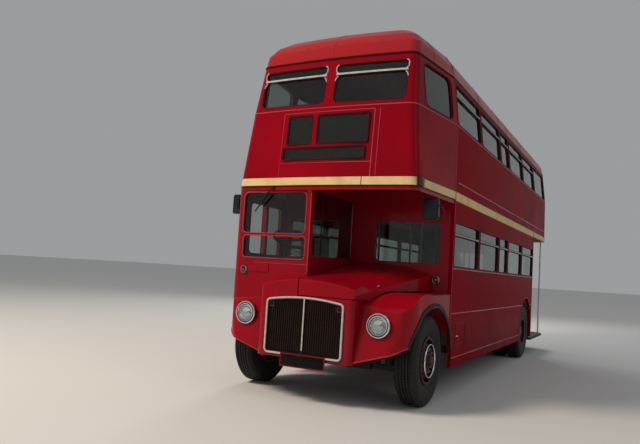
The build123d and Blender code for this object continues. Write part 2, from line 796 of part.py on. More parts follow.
hinge_front_z = bonnet_sections[0][1][0][1]
hinge_back_z = bonnet_sections[1][1][0][1]
bonnet_length = bonnet_back_y - cowl_front_y
bonnet_slope = math.degrees(math.atan2(hinge_back_z - hinge_front_z, bonnet_length))
hinge_x = bonnet_left_x - 3.7
hinge_radius = 8.0
hinge_drop = 10.0
hinge_half_length = 620.0
flange = 40.0
with BuildPart() as bonnet:
    add(bonnet_block(0.0))
    crest = bonnet.edges().filter_by_position(Axis.Y, cowl_front_y - 1, cowl_front_y + 1)
    fillet(crest.sort_by(Axis.Z)[-1], crest_roll)
    add(bonnet_block(sheet), mode=Mode.SUBTRACT)
    with BuildSketch(Plane.YZ.offset(-200)):
        with BuildLine():
            Polyline(
                (cowl_front_y + sheet, hinge_front_z - flange),
                (bonnet_back_y, hinge_back_z - flange),
                (bonnet_back_y + 50, hinge_back_z - flange),
                (bonnet_back_y + 50, bonnet_low_z - 10),
                (cowl_front_y + sheet, bonnet_low_z - 10),
                close=True,
            )
        make_face()
    extrude(amount=200 + bonnet_left_x + sheet + 1, mode=Mode.SUBTRACT)
    add(wing_block(1, lift=run_gap, reach=90.0), mode=Mode.SUBTRACT)
    box_between(
        -far,
        far,
        nose_y,
        cowl_back_y + run_gap,
        bonnet_low_z - 10,
        bonnet_seat_z + bonnet_seat_gap,
        Mode.SUBTRACT,
    )
    hinge_plane = Plane(
        origin=(
            hinge_x,
            (cowl_front_y + bonnet_back_y) / 2,
            (hinge_front_z + hinge_back_z) / 2 - hinge_drop,
        ),
        x_dir=(1, 0, 0),
        z_dir=(0, math.cos(math.radians(bonnet_slope)), math.sin(math.radians(bonnet_slope))),
    )
    with BuildSketch(hinge_plane):
        Circle(hinge_radius)
    extrude(amount=hinge_half_length, both=True)
save("bonnet", bonnet)


def shrink(windows):
    """Panes a hair smaller than their openings."""
    smaller = []
    for low, high, sill, head, radius in windows:
        smaller.append((low + seat_fit, high - seat_fit, sill + seat_fit, head - seat_fit, radius))
    return smaller


# Lamps: two headlamps, two side lamps and the rear lamps
side_lamp_radius = 50.0
side_lamp_depth = 36.0
near_side_lamp = (1030.0, bulkhead_y, 1407.0)
off_side_lamp = (-965.0, bulkhead_y - 1190.0, 1400.0)
rear_lamp_z = (760.0, 980.0)
with BuildPart() as lamps:
    for side in (-1, 1):
        with BuildSketch(Plane.XZ.offset(-cowl_back_y)):
            with Locations((side * lamp_x, lamp_z)):
                Circle(bowl_radius)
        extrude(amount=bowl_length)
        with BuildSketch(Plane.XZ.offset(-(cowl_back_y - bowl_length))):
            with Locations((side * lamp_x, lamp_z)):
                Circle(lamp_radius)
        extrude(amount=25, taper=25)
    for x, y, z in (near_side_lamp, off_side_lamp):
        with BuildSketch(Plane.XZ.offset(-y)):
            with Locations((x, z)):
                Circle(side_lamp_radius)
        extrude(amount=side_lamp_depth, taper=15)
    box_between(-960, -870, tail_y - 25, tail_y, *rear_lamp_z)
    box_between(880, 930, tail_y - 27, tail_y, 2560, 2640)
    add(cab_front.part, mode=Mode.SUBTRACT)
    add(upper_rear.part, mode=Mode.SUBTRACT)
save("lamps", lamps)

# Display boxes: dark blinds behind their openings, front and rear
with BuildPart() as display_boxes:
    for opening in display_openings:
        middle_z = (opening[2] + opening[3]) / 2
        face_y = bulkhead_y - 1240.0 + 75.0 * (middle_z - band_low_z) / 918.0 + 24.0
        add(front_cutters(shrink([opening]), face_y, bulkhead_y - 1020.0))
    add(front_cutters(shrink(rear_display), tail_y - 140.0, tail_y - 40.0))
save("display_boxes", display_boxes)

# Window glass, set back in the walls
with BuildPart() as upper_panes:
    add(upper_body(pane_setback))
    add(upper_body(pane_setback + pane), mode=Mode.SUBTRACT)
    with BuildPart(mode=Mode.PRIVATE) as openings:
        add(side_cutters(shrink(upper_windows + [quarter_window])))
        add(front_cutters(shrink(front_upper_windows), front_zone_y, bulkhead_y - 900.0))
        add(front_cutters(shrink(rear_upper_windows), corner_start_y, tail_y))
    add(openings.part, mode=Mode.INTERSECT)

with BuildPart() as lower_panes:
    add(lower_body(pane_setback))
    add(lower_body(pane_setback + pane), mode=Mode.SUBTRACT)
    with BuildPart(mode=Mode.PRIVATE) as openings:
        add(side_cutters(shrink(lower_windows)))
        add(front_cutters(shrink(windscreen), nose_y, cab_corner_y))
        add(front_cutters(shrink(rear_lower_window), corner_start_y, tail_y))
        add(side_cutters(shrink(cab_fixed_window)))
        box_between(0, far, nose_y, bulkhead_y, 0, band_low_z, Mode.SUBTRACT)
    add(openings.part, mode=Mode.INTERSECT)

with BuildPart() as window_glass:
    add(upper_panes.part)
    add(lower_panes.part)
    front_pane_y = bulkhead_y + pane_setback
    add(front_cutters(shrink(front_bulkhead_windows), front_pane_y, front_pane_y + pane))
    rear_pane_y = rear_bulkhead_y - wall + pane_setback
    add(front_cutters(shrink(rear_bulkhead_windows), rear_pane_y, rear_pane_y + pane))
    with BuildSketch(Plane.YZ.offset(cab_inner_x - 22)):
        for low, high, sill, head, radius in shrink(cab_inner_window):
            with Locations(((low + high) / 2, (sill + head) / 2)):
                RectangleRounded(high - low, head - sill, radius)
    extrude(amount=pane)
save("window_glass", window_glass)

# Staircase: one straight step off the platform, three winders round a newel post, then five
# steps forward
riser_count = 10
rise = (upper_floor_z - platform_z) / riser_count
going = 205.0
step_lap = 30.0
stair_corner_y = stair_top_y + 5 * going
first_step_x = -230.0
winder_pivot = (stair_inner_x, stair_corner_y)
winder_reach = 1000.0
newel_radius = 25.0
with BuildPart() as staircase:
    box_between(
        stair_inner_x, first_step_x, stair_corner_y, tail_y, platform_z, platform_z + rise
    )
    for number in range(3):
        top = platform_z + rise * (number + 2)
        start = math.radians(90 + 30 * number)
        stop = math.radians(120 + 30 * number)
        with BuildSketch(Plane.XY.offset(top - rise - step_lap)):
            with BuildLine():
                Polyline(
                    winder_pivot,
                    (
                        winder_pivot[0] + winder_reach * math.cos(start),
                        winder_pivot[1] + winder_reach * math.sin(start),
                    ),
                    (
                        winder_pivot[0] + winder_reach * math.cos(stop),
                        winder_pivot[1] + winder_reach * math.sin(stop),
                    ),
                    close=True,
                )
            make_face()
        extrude(amount=rise + step_lap)
    for number in range(5):
        top = platform_z + rise * (number + 5)
        back = stair_corner_y - going * number
        box_between(-far, stair_inner_x, back - going, back, top - rise - step_lap, top)
    with BuildSketch(Plane.XY.offset(platform_z)):
        with Locations(winder_pivot):
            Circle(newel_radius)
    extrude(amount=ceiling_z - platform_z)
    add(cab_inside, mode=Mode.INTERSECT)
    box_between(-inner_half + 3, stair_inner_x, stair_top_y, stair_top_y + sheet, 2285, upper_floor_z)
    with BuildSketch(Plane.YZ.offset(stair_inner_x)):
        with BuildLine():
            Polyline(
                (stair_corner_y, 1090),
                (stair_corner_y, 1600),
                (stair_top_y, upper_floor_z - slab),
                (stair_top_y, 2150),
                close=True,
            )
        make_face()
    extrude(amount=sheet)
save("staircase", staircase)

# Seats: a bent panel on two legs, with a cushion and a squab
seat_depth = 430.0
seat_width = 790.0
seat_height = 360.0
back_height = 900.0
back_lean = 90.0
panel = 18.0
leg = 32.0
cushion = 95.0
squab = 60.0
seat_inner_x = 355.0
row_pitch = 710.0
lower_rows = 6
upper_rows = 10


# One double seat facing forward, its low corner at the origin
with BuildPart() as seat_frame:
    with BuildSketch(Plane.YZ):
        with BuildLine():
            Polyline(
                (0, seat_height - panel),
                (0, seat_height),
                (seat_depth, seat_height),
                (seat_depth + back_lean, back_height),
                (seat_depth + back_lean + panel, back_height),
                (seat_depth + panel, seat_height - panel),
                close=True,
            )
        make_face()
    extrude(amount=seat_width)
    for leg_x in (0, seat_width - leg):
        for leg_y in (40, seat_depth - 60):
            box_between(leg_x, leg_x + leg, leg_y, leg_y + leg, 0, seat_height - panel)

# The cushion and the leaning squab of the same seat
pad_inset = 8.0
lean = back_lean / (back_height - seat_height)
with BuildPart() as seat_pad:
    with BuildSketch(Plane.YZ.offset(pad_inset)):
        pad_low = seat_height + seat_fit
        pad_top = seat_height + cushion
        with BuildLine():
            Polyline(
                (4, pad_low),
                (4, pad_top - 25),
                (30, pad_top),
                (seat_depth - squab - 8 + lean * cushion, pad_top),
                (seat_depth - squab - 8, pad_low),
                close=True,
            )
        make_face()
    extrude(amount=seat_width - 2 * pad_inset)
    with BuildSketch(Plane.YZ.offset(pad_inset)):
        squab_top = back_height - 10
        back_foot = seat_depth - seat_fit
        back_head = back_foot + lean * (squab_top - pad_low)
        with BuildLine():
            Polyline(
                (back_foot - squab, pad_low),
                (back_head - squab, squab_top - 30),
                (back_head - squab + 25, squab_top),
                (back_head, squab_top),
                (back_foot, pad_low),
                close=True,
            )
        make_face()
    extrude(amount=seat_width - 2 * pad_inset)


# floor height, y of the first seat's front edge, rows on the nearside, rows on the offside
seat_decks = (
    (saloon_floor_z, floor_front_y + 260.0, lower_rows, lower_rows),
    (upper_floor_z, bulkhead_y - 60.0, upper_rows, upper_rows - 2),
)
seat_places = []
for floor_z, first_y, near_rows, off_rows in seat_decks:
    for row in range(near_rows):
        seat_places.append((seat_inner_x, first_y + row * row_pitch, floor_z))
    for row in range(off_rows):
        seat_places.append((-seat_inner_x - seat_width, first_y + row * row_pitch, floor_z))

bench_y = (rear_bulkhead_y - wall - 1300.0, rear_bulkhead_y - wall - 20.0)
bench_z = tyre_radius + rear_cover_radius + arch_wall
bench_inner_x = rear_arch_inner_x - arch_wall
bench_outer_x = inner_half - arch_wall - 1.0
driver_x = (-820.0, -380.0)
driver_y = (bulkhead_y - 500.0, bulkhead_y - 90.0)
driver_seat_z = cab_floor_z + 150.0
with BuildPart() as seat_frames:
    with Locations(*seat_places):
        add(seat_frame.part)
    for side in (-1, 1):
        ends = sorted((side * bench_inner_x, side * bench_outer_x))
        box_between(ends[0], ends[1], bench_y[0], bench_y[1], bench_z, bench_z + panel)
    box_between(
        driver_x[0] + 60, driver_x[1] - 60, driver_y[0] + 60, driver_y[1] - 60, cab_floor_z, driver_seat_z
    )
save("seat_frames", seat_frames)

with BuildPart() as seat_pads:
    with Locations(*seat_places):
        add(seat_pad.part)
    for side in (-1, 1):
        bottom = bench_z + panel + seat_fit
        ends = sorted((side * (bench_inner_x + 6), side * (bench_outer_x - squab - 8)))
        box_between(ends[0], ends[1], bench_y[0] + 6, bench_y[1] - 6, bottom, bottom + cushion)
        ends = sorted((side * (bench_outer_x - squab), side * bench_outer_x))
        box_between(ends[0], ends[1], bench_y[0] + 6, bench_y[1] - 6, bottom, bottom + 380)
    bottom = driver_seat_z + seat_fit
    box_between(driver_x[0], driver_x[1], driver_y[0], driver_y[1] - 80, bottom, bottom + cushion)
    box_between(driver_x[0], driver_x[1], driver_y[1] - 70, driver_y[1], bottom, bottom + 480)
save("seat_pads", seat_pads)

# Steering column and hand wheel, leaning towards the driver
hand_wheel = (-560.0, bulkhead_y - 850.0, 1790.0)
hand_wheel_radius = 215.0
column_lean = 25.0
lean_y = math.sin(math.radians(column_lean))
lean_z = math.cos(math.radians(column_lean))
column_length = (hand_wheel[2] - cab_floor_z) / lean_z
wheel_plane = Plane(origin=hand_wheel, x_dir=(1, 0, 0), z_dir=(0, lean_y, lean_z))
with BuildPart() as steering_column:
    with BuildSketch(wheel_plane):
        Circle(22)
    extrude(amount=-(column_length + 30))
    with BuildSketch(wheel_plane.offset(-14)):
        Circle(hand_wheel_radius)
        Circle(hand_wheel_radius - 26, mode=Mode.SUBTRACT)
        Rectangle(2 * hand_wheel_radius - 20, 30)
        with Locations((0, -hand_wheel_radius / 2)):
            Rectangle(30, hand_wheel_radius - 10)
        Circle(50)
    extrude(amount=28)
    box_between(-far, 0, nose_y, bulkhead_y, 1000, cab_floor_z, Mode.SUBTRACT)
save("steering_column", steering_column)

# Grab poles: at the platform's corner and beside the gangway
pole_radius = 16.0
platform_pole = (1140.0, tail_y - 227.0)
with BuildPart() as grab_poles:
    with BuildSketch(Plane.XY.offset(platform_z)):
        with Locations(platform_pole):
            Circle(pole_radius)
    extrude(amount=ceiling_z - platform_z)
    with BuildSketch(Plane.XY.offset(saloon_floor_z)):
        for row in (1, 3, 5):
            pole_y = floor_front_y + 260.0 + row * row_pitch + seat_depth
            with Locations((seat_inner_x - 20, pole_y), (-seat_inner_x + 20, pole_y)):
                Circle(pole_radius)
    extrude(amount=ceiling_z - saloon_floor_z)
save("grab_poles", grab_poles)

# Front subframe with its rails, cross members and posts, and the rear subframe
rail_outer_x = cowl_half - cowl_wall
rail_width = 50.0
front_rail_z = (440.0, 560.0)
front_rail_y = (nose_y + 75.0, bulkhead_y + 280.0)
front_cross_y = (nose_y + 260.0, bulkhead_y - 60.0)
front_cross_depth = 70.0
post_y = (floor_front_y + 10.0, floor_front_y + 110.0)
rear_rail_x = (430.0, 480.0)
rear_rail_y = (rear_axle_y - 860.0, rear_axle_y + 600.0)
rear_rail_z = (385.0, 444.7)
rear_cross_depth = 60.0
rear_cross_z = (rear_rail_z[0], rear_rail_z[0] + 35.0)
axle_tube = 60.0


def box_on_each_side(x0, x1, y0, y1, z0, z1):
    """The same block on the nearside and, mirrored, on the offside."""
    box_between(x0, x1, y0, y1, z0, z1)
    box_between(-x1, -x0, y0, y1, z0, z1)


with BuildPart() as subframes:
    rail_x = (rail_outer_x - rail_width, rail_outer_x)
    box_on_each_side(*rail_x, *front_rail_y, *front_rail_z)
    box_on_each_side(*rail_x, *post_y, front_rail_z[1], saloon_floor_z - slab)
    for y in front_cross_y:
        box_between(-rail_x[0], rail_x[0], y, y + front_cross_depth, *front_rail_z)
    box_on_each_side(*rear_rail_x, *rear_rail_y, *rear_rail_z)
    for y in (rear_rail_y[0], rear_rail_y[1] - rear_cross_depth):
        box_between(-rear_rail_x[0], rear_rail_x[0], y, y + rear_cross_depth, *rear_cross_z)
    for y in (bearer_y[-2], bearer_y[-1]):
        hanger_top_z = saloon_floor_z - slab - bearer_depth
        box_on_each_side(*rear_rail_x, y, y + bearer_width, rear_rail_z[0] + 50, hanger_top_z)
save("subframes", subframes)

# Engine and gearbox as plain blocks
engine_x = (-60.0, 480.0)
engine_front_y = nose_y + 380.0
engine_top_z = 1190.0
gearbox_x = (60.0, 380.0)
gearbox_back_y = bulkhead_y + 200.0
gearbox_z = (420.0, 620.0)
with BuildPart() as engine_block:
    box_between(*engine_x, engine_front_y, bulkhead_y - 10, front_rail_z[1], engine_top_z)
    box_between(*gearbox_x, bulkhead_y - 10, gearbox_back_y, front_rail_z[1], gearbox_z[1])
    box_between(*gearbox_x, bulkhead_y + 12, gearbox_back_y, gearbox_z[0], front_rail_z[1])
save("engine_block", engine_block)

# Front suspension: cross member, upper and lower arms, coil springs
cross_member_z = (330.0, front_rail_z[0])
cross_member_half = 480.0
member_half_depth = 70.0
wishbone_half = 35.0
lower_arm_z = (340.0, 400.0)
upper_arm_z = (640.0, 680.0)
spring_x = 700.0
spring_radius = 62.0
with BuildPart() as front_axle:
    member_y = (front_axle_y - member_half_depth, front_axle_y + member_half_depth)
    arm_y = (front_axle_y - wishbone_half, front_axle_y + wishbone_half)
    arm_end_x = kingpin_x + 30.0
    box_between(-cross_member_half, cross_member_half, *member_y, *cross_member_z)
    box_on_each_side(cross_member_half, rail_outer_x, *member_y, lower_arm_z[1], front_rail_z[0])
    box_on_each_side(cross_member_half, arm_end_x, *arm_y, *lower_arm_z)
    box_on_each_side(rail_x[0], arm_end_x, *arm_y, *upper_arm_z)
    box_on_each_side(*rail_x, *arm_y, front_rail_z[1], upper_arm_z[1])
    for side in (-1, 1):
        with BuildSketch(Plane.XY.offset(lower_arm_z[1])):
            with Locations((side * spring_x, front_axle_y)):
                Circle(spring_radius)
        extrude(amount=upper_arm_z[0] - lower_arm_z[1])
save("front_axle", front_axle)

# Rear axle: beam, final drive, stub ends and the propeller shaft
rear_stub_radius = 45.0
rear_stub_end = 1110.0
drive_radius = 115.0
shaft_radius = 42.0
with BuildPart() as rear_axle:
    with BuildSketch(Plane.YZ.offset(-rear_arch_inner_x + 40)):
        with Locations((rear_axle_y, tyre_radius)):
            Circle(axle_tube)
    extrude(amount=2 * (rear_arch_inner_x - 40))
    with BuildSketch(Plane.YZ.offset(-rear_stub_end)):
        with Locations((rear_axle_y, tyre_radius)):
            Circle(rear_stub_radius)
    extrude(amount=2 * rear_stub_end)
    with BuildSketch(Plane.YZ.offset(-110)):
        with Locations((rear_axle_y, tyre_radius)):
            Circle(drive_radius)
    extrude(amount=300)
    shaft_front_y = bulkhead_y + 200
    with BuildSketch(Plane.XZ.offset(-rear_axle_y)):
        with Locations((150, tyre_radius - 40)):
            Circle(shaft_radius)
    extrude(amount=rear_axle_y - shaft_front_y)
save("rear_axle", rear_axle)

# Fuel tank under the offside floor
with BuildPart() as fuel_tank:
    box_between(-1150, -640, -1700, -620, 372, saloon_floor_z - slab - bearer_depth)
    fillet(fuel_tank.edges().filter_by(Axis.Y), 60)
save("fuel_tank", fuel_tank)

# Mirrors on their arms: under the canopy on the nearside, on the cab's corner on the offside
mirror_z = (2072.0, 2302.0)
mirror_reach = 1304.0
mirror_depth = 50.0
arm_half = 9.0
near_mirror_y = bulkhead_y - 700.0
off_mirror_y = bulkhead_y - 1020.0
near_arm_x = half_width - 66.0
with BuildPart() as mirrors:
    for side, head_width, y in ((1, 240.0, near_mirror_y), (-1, 118.0, off_mirror_y)):
        middle = side * (mirror_reach - head_width / 2)
        with BuildSketch(Plane.XZ.offset(-(y + mirror_depth / 2))):
            with Locations((middle, sum(mirror_z) / 2)):
                RectangleRounded(head_width, mirror_z[1] - mirror_z[0], 30)
        extrude(amount=mirror_depth)
    box_between(
        near_arm_x - arm_half,
        near_arm_x + arm_half,
        near_mirror_y - arm_half,
        near_mirror_y + arm_half,
        mirror_z[1] - 40,
        band_low_z,
    )
    box_between(
        middle,
        -half_width + 80,
        off_mirror_y - arm_half,
        off_mirror_y + arm_half,
        mirror_z[1] - 80,
        mirror_z[1] - 60,
    )
    add(cab_off_side.part, mode=Mode.SUBTRACT)
save("mirrors", mirrors)

# Knuckles: kingpin, spindle and steering arm
spindle_radius = 35.0
spindle_end = 1080.0
hub_fit = 0.05


def knuckle(side):
    with BuildPart() as piece:
        with BuildSketch(Plane.XY.offset(lower_arm_z[1] + seat_fit)):
            with Locations((side * kingpin_x, front_axle_y)):
                Circle(24)
        extrude(amount=upper_arm_z[0] - lower_arm_z[1] - 2 * seat_fit)
        with BuildSketch(Plane.YZ.offset(side * kingpin_x)):
            with Locations((front_axle_y, tyre_radius)):
                Circle(spindle_radius)
        extrude(amount=side * (spindle_end - kingpin_x))
        ends = sorted((side * (kingpin_x - 15), side * (kingpin_x + 15)))
        box_between(ends[0], ends[1], front_axle_y, front_axle_y + 140, tyre_radius - 12, tyre_radius + 12)
    return piece


knuckle_near = knuckle(1)
save("knuckle_near", knuckle_near)
knuckle_off = knuckle(-1)
save("knuckle_off", knuckle_off)

# Wheels: rim sections and tyre sections turned about their axles
rim_radius = 250.0
rim_flange = 268.0
rim_half = 110.0
rim_sheet = 12.0
bead_half = 98.0
tread_half = 92.0
# distance across from the tyre's middle, radius
tyre_section = (
    (-bead_half, rim_radius + seat_fit),
    (-bead_half, rim_flange + 8),
    (-tyre_width / 2, 390.0),
    (-tyre_width / 2 + 14, 480.0),
    (-tread_half, tyre_radius),
    (tread_half, tyre_radius),
    (tyre_width / 2 - 14, 480.0),
    (tyre_width / 2, 390.0),
    (bead_half, rim_flange + 8),
    (bead_half, rim_radius + seat_fit),
)


def turn(points, x, side, axle_y):
    """Turn a closed section of (distance outwards, radius) points about an axle."""
    with BuildPart() as ring:
        with BuildSketch(Plane.XZ.offset(-axle_y)):
            with BuildLine():
                Polyline(*[(x + side * out, tyre_radius + radius) for out, radius in points], close=True)
            make_face()
        revolve(axis=Axis((x, axle_y, tyre_radius), (1, 0, 0)))
    return ring.part


# a rim's trough with its two flanges
rim_section = (
    (-rim_half, rim_flange),
    (-bead_half - 1, rim_flange),
    (-bead_half - 1, rim_radius),
    (bead_half + 1, rim_radius),
    (bead_half + 1, rim_flange),
    (rim_half, rim_flange),
    (rim_half, rim_radius - rim_sheet),
    (-rim_half, rim_radius - rim_sheet),
)
front_disc = (
    (40.0, rim_radius - rim_sheet),
    (56.0, rim_radius - rim_sheet),
    (96.0, 150.0),
    (96.0, 95.0),
    (128.0, 80.0),
    (128.0, 0.0),
    (spindle_end - front_track_x + 8, 0.0),
    (spindle_end - front_track_x + 8, spindle_radius + hub_fit),
    (-40.0, spindle_radius + hub_fit),
    (-40.0, 90.0),
    (70.0, 90.0),
    (78.0, 150.0),
)
for name, side in (("near", 1), ("off", -1)):
    with BuildPart() as front_rim:
        add(turn(rim_section, side * front_track_x, side, front_axle_y))
        add(turn(front_disc, side * front_track_x, side, front_axle_y))
    save(f"front_rim_{name}", front_rim)
    with BuildPart() as front_tyre:
        add(turn(tyre_section, side * front_track_x, side, front_axle_y))
    save(f"front_tyre_{name}", front_tyre)

    with BuildPart() as rear_rims:
        add(turn(rim_section, side * rear_outer_x, side, rear_axle_y))
        add(turn(rim_section, side * rear_inner_x, side, rear_axle_y))
        hub_out = rear_stub_end - rear_outer_x + 8
        middle_out = (rear_inner_x - rear_outer_x) / 2
        rear_disc = (
            (middle_out - 60, rim_radius - rim_sheet),
            (middle_out + 60, rim_radius - rim_sheet),
            (middle_out + 30, 220.0),
            (middle_out + 14, 130.0),
            (hub_out - 60, 110.0),
            (hub_out + 20, 95.0),
            (hub_out + 20, 0.0),
            (hub_out, 0.0),
            (hub_out, rear_stub_radius + hub_fit),
            (middle_out - 120, rear_stub_radius + hub_fit),
            (middle_out - 120, 110.0),
            (middle_out - 14, 130.0),
            (middle_out - 30, 220.0),
        )
        add(turn(rear_disc, side * rear_outer_x, side, rear_axle_y))
    save(f"rear_rims_{name}", rear_rims)
    with BuildPart() as rear_tyres:
        add(turn(tyre_section, side * rear_outer_x, side, rear_axle_y))
        add(turn(tyre_section, side * rear_inner_x, side, rear_axle_y))
    save(f"rear_tyres_{name}", rear_tyres)
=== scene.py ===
# %% [markdown]
# A half-cab double decker bus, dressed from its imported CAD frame.
# The frame holds every panel, wheel and seat at its real size. This lesson adds the finishes and
# the fittings that a coach painter and a body shop would add last: beads, window pans, lamps,
# tyres with their tread, wheel nuts, cushions, plates and the small handles.

# %% Load the frame
import bpy
import json
import math
from mathutils import Matrix, Vector

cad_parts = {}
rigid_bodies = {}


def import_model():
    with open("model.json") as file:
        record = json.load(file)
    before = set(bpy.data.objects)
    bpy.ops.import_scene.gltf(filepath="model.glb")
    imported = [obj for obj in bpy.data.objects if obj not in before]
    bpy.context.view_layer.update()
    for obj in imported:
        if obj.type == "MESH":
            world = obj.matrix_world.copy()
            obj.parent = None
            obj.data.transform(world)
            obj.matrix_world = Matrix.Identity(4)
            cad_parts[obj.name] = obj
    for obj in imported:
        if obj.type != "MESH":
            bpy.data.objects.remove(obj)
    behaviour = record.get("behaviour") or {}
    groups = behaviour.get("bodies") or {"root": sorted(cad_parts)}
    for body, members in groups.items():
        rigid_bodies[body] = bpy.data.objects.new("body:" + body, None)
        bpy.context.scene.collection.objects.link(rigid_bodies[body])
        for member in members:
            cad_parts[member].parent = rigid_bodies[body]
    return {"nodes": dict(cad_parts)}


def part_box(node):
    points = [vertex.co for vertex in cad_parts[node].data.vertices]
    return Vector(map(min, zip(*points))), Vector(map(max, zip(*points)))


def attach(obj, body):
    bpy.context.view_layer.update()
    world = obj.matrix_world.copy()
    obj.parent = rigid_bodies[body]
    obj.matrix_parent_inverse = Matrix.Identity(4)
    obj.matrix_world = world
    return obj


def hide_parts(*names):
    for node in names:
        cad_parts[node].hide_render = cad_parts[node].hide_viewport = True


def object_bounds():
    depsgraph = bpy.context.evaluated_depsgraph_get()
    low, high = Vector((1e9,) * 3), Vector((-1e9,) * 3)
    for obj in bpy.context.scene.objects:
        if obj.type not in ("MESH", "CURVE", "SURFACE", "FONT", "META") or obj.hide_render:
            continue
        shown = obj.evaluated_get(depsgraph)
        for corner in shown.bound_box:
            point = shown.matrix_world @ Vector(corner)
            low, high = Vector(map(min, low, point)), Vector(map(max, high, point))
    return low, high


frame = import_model()
nodes = frame["nodes"]
cad_low, cad_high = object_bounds()
print("CAD box", tuple(cad_low), tuple(cad_high))

# %% [markdown]
# Everything is placed from the frame: the planes of the nose, the two bulkheads and the flanks,
# and the middles of the wheels are read from the nodes that hold them.

# %% Places read from the frame
nose_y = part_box("radiator_grille")[0].y
bulkhead_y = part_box("front_bulkhead")[0].y
rear_bulkhead_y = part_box("rear_bulkhead")[1].y
corner_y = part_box("upper_side_near")[1].y
half_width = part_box("lower_side_near")[1].x
tail_y = cad_high.y
front_axle = sum(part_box("front_tyre_near"), Vector()) / 2
rear_axle = sum(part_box("rear_tyres_near"), Vector()) / 2
FRONT_WHEEL_X, REAR_OUTER_X, REAR_INNER_X = 1.030, 1.062, 0.772
print("bulkhead", round(bulkhead_y, 3), "front axle", tuple(round(v, 3) for v in front_axle))

# %% [markdown]
# Small helpers come first. An operator works on whatever is selected, so each helper clears the
# selection before it picks what it needs, and pick() chooses faces, edges or points in code.

# %% Helpers for selecting and applying


def deselect():
    bpy.ops.object.select_all(action="DESELECT")


def work_on(obj):
    """Make obj the only selected object."""
    deselect()
    obj.select_set(True)
    bpy.context.view_layer.objects.active = obj


def pick(obj, test, kind="FACE"):
    """Open obj in edit mode with only the parts that pass the test selected."""
    work_on(obj)
    bpy.ops.object.mode_set(mode="EDIT")
    bpy.ops.mesh.select_mode(type=kind)
    bpy.ops.mesh.select_all(action="DESELECT")
    bpy.ops.object.mode_set(mode="OBJECT")
    mesh = obj.data
    for part in {"FACE": mesh.polygons, "EDGE": mesh.edges, "VERT": mesh.vertices}[kind]:
        part.select = test(part)
    bpy.ops.object.mode_set(mode="EDIT")


def done():
    bpy.ops.object.mode_set(mode="OBJECT")


def keep_only(obj, test):
    """Delete every face that fails the test."""
    pick(obj, lambda face: not test(face))
    bpy.ops.mesh.delete(type="FACE")
    done()


def apply(obj, kind, **settings):
    """Add one modifier with its settings and apply it."""
    work_on(obj)
    bpy.ops.object.modifier_add(type=kind)
    modifier = obj.modifiers[-1]
    for name, value in settings.items():
        setattr(modifier, name, value)
    bpy.ops.object.modifier_apply(modifier=modifier.name)


def settle():
    """Move the active object's place into its mesh."""
    bpy.ops.object.transform_apply(location=True, rotation=True, scale=True)


# %% Helpers for blocks, discs, tubes and copies


def block(low, high, bevel=0.0):
    """A block between two corners with its edges eased."""
    deselect()
    bpy.ops.mesh.primitive_cube_add(size=1, location=(Vector(low) + Vector(high)) / 2)
    obj = bpy.context.active_object
    obj.scale = Vector(high) - Vector(low)
    settle()
    if bevel:
        apply(obj, "BEVEL", width=bevel, segments=2)
    return obj


AXIS_TURN = {"x": (0, math.pi / 2, 0), "y": (math.pi / 2, 0, 0), "z": (0, 0, 0)}
AXES = {"x": Vector((1, 0, 0)), "y": Vector((0, 1, 0)), "z": Vector((0, 0, 1))}


def round_block(low, high, axis, radius):
    """A block whose four edges along one axis are rounded."""
    made = block(low, high)
    points = made.data.vertices

    def along(edge):
        run = points[edge.vertices[0]].co - points[edge.vertices[1]].co
        return abs(run.normalized().dot(AXES[axis])) > 0.99

    pick(made, along, "EDGE")
    bpy.ops.mesh.bevel(offset=radius, segments=6)
    done()
    return made


def disc(middle, radius, depth, axis="x", sides=32, bevel=0.0):
    """A short cylinder about one axis with its rims eased."""
    deselect()
    bpy.ops.mesh.primitive_cylinder_add(
        vertices=sides, radius=radius, depth=depth, location=middle, rotation=AXIS_TURN[axis]
    )
    obj = bpy.context.active_object
    settle()
    if bevel:
        apply(obj, "BEVEL", width=bevel, segments=2, limit_method="ANGLE")
    return obj


def ring(middle, radius, thickness, axis="x", squeeze=1.0):
    """A round ring about one axis, flattened along that axis by squeeze."""
    deselect()
    bpy.ops.mesh.primitive_torus_add(
        major_radius=radius,
        minor_radius=thickness,
        major_segments=64,
        minor_segments=10,
    )
    obj = bpy.context.active_object
    obj.scale = (1, 1, squeeze)
    settle()
    obj.rotation_euler = AXIS_TURN[axis]
    obj.location = middle
    settle()
    return obj


def tube(points, radius):
    """A round bar along straight runs: one corner of a plane extruded from point to point."""
    deselect()
    bpy.ops.mesh.primitive_plane_add(size=0.01, location=points[0])
    obj = bpy.context.active_object
    settle()
    bpy.ops.object.mode_set(mode="EDIT")
    bpy.ops.mesh.select_mode(type="VERT")
    bpy.ops.mesh.select_all(action="SELECT")
    bpy.ops.mesh.merge(type="CENTER")
    for start, end in zip(points[:-1], points[1:]):
        step = Vector(end) - Vector(start)
        bpy.ops.mesh.extrude_vertices_move(TRANSFORM_OT_translate={"value": step})
    done()
    bpy.ops.object.convert(target="CURVE")
    obj = bpy.context.active_object
    obj.data.bevel_depth = radius
    obj.data.bevel_resolution = 3
    obj.data.use_fill_caps = True
    bpy.ops.object.convert(target="MESH")
    return bpy.context.active_object


def outlined(low, high, place, radius):
    """A bar round the rectangle between two corners. place turns a pair of numbers into a point."""
    (a0, b0), (a1, b1) = low, high
    corners = ((a0, b0), (a1, b0), (a1, b1), (a0, b1), (a0, b0))
    return tube([place(a, b) for a, b in corners], radius)


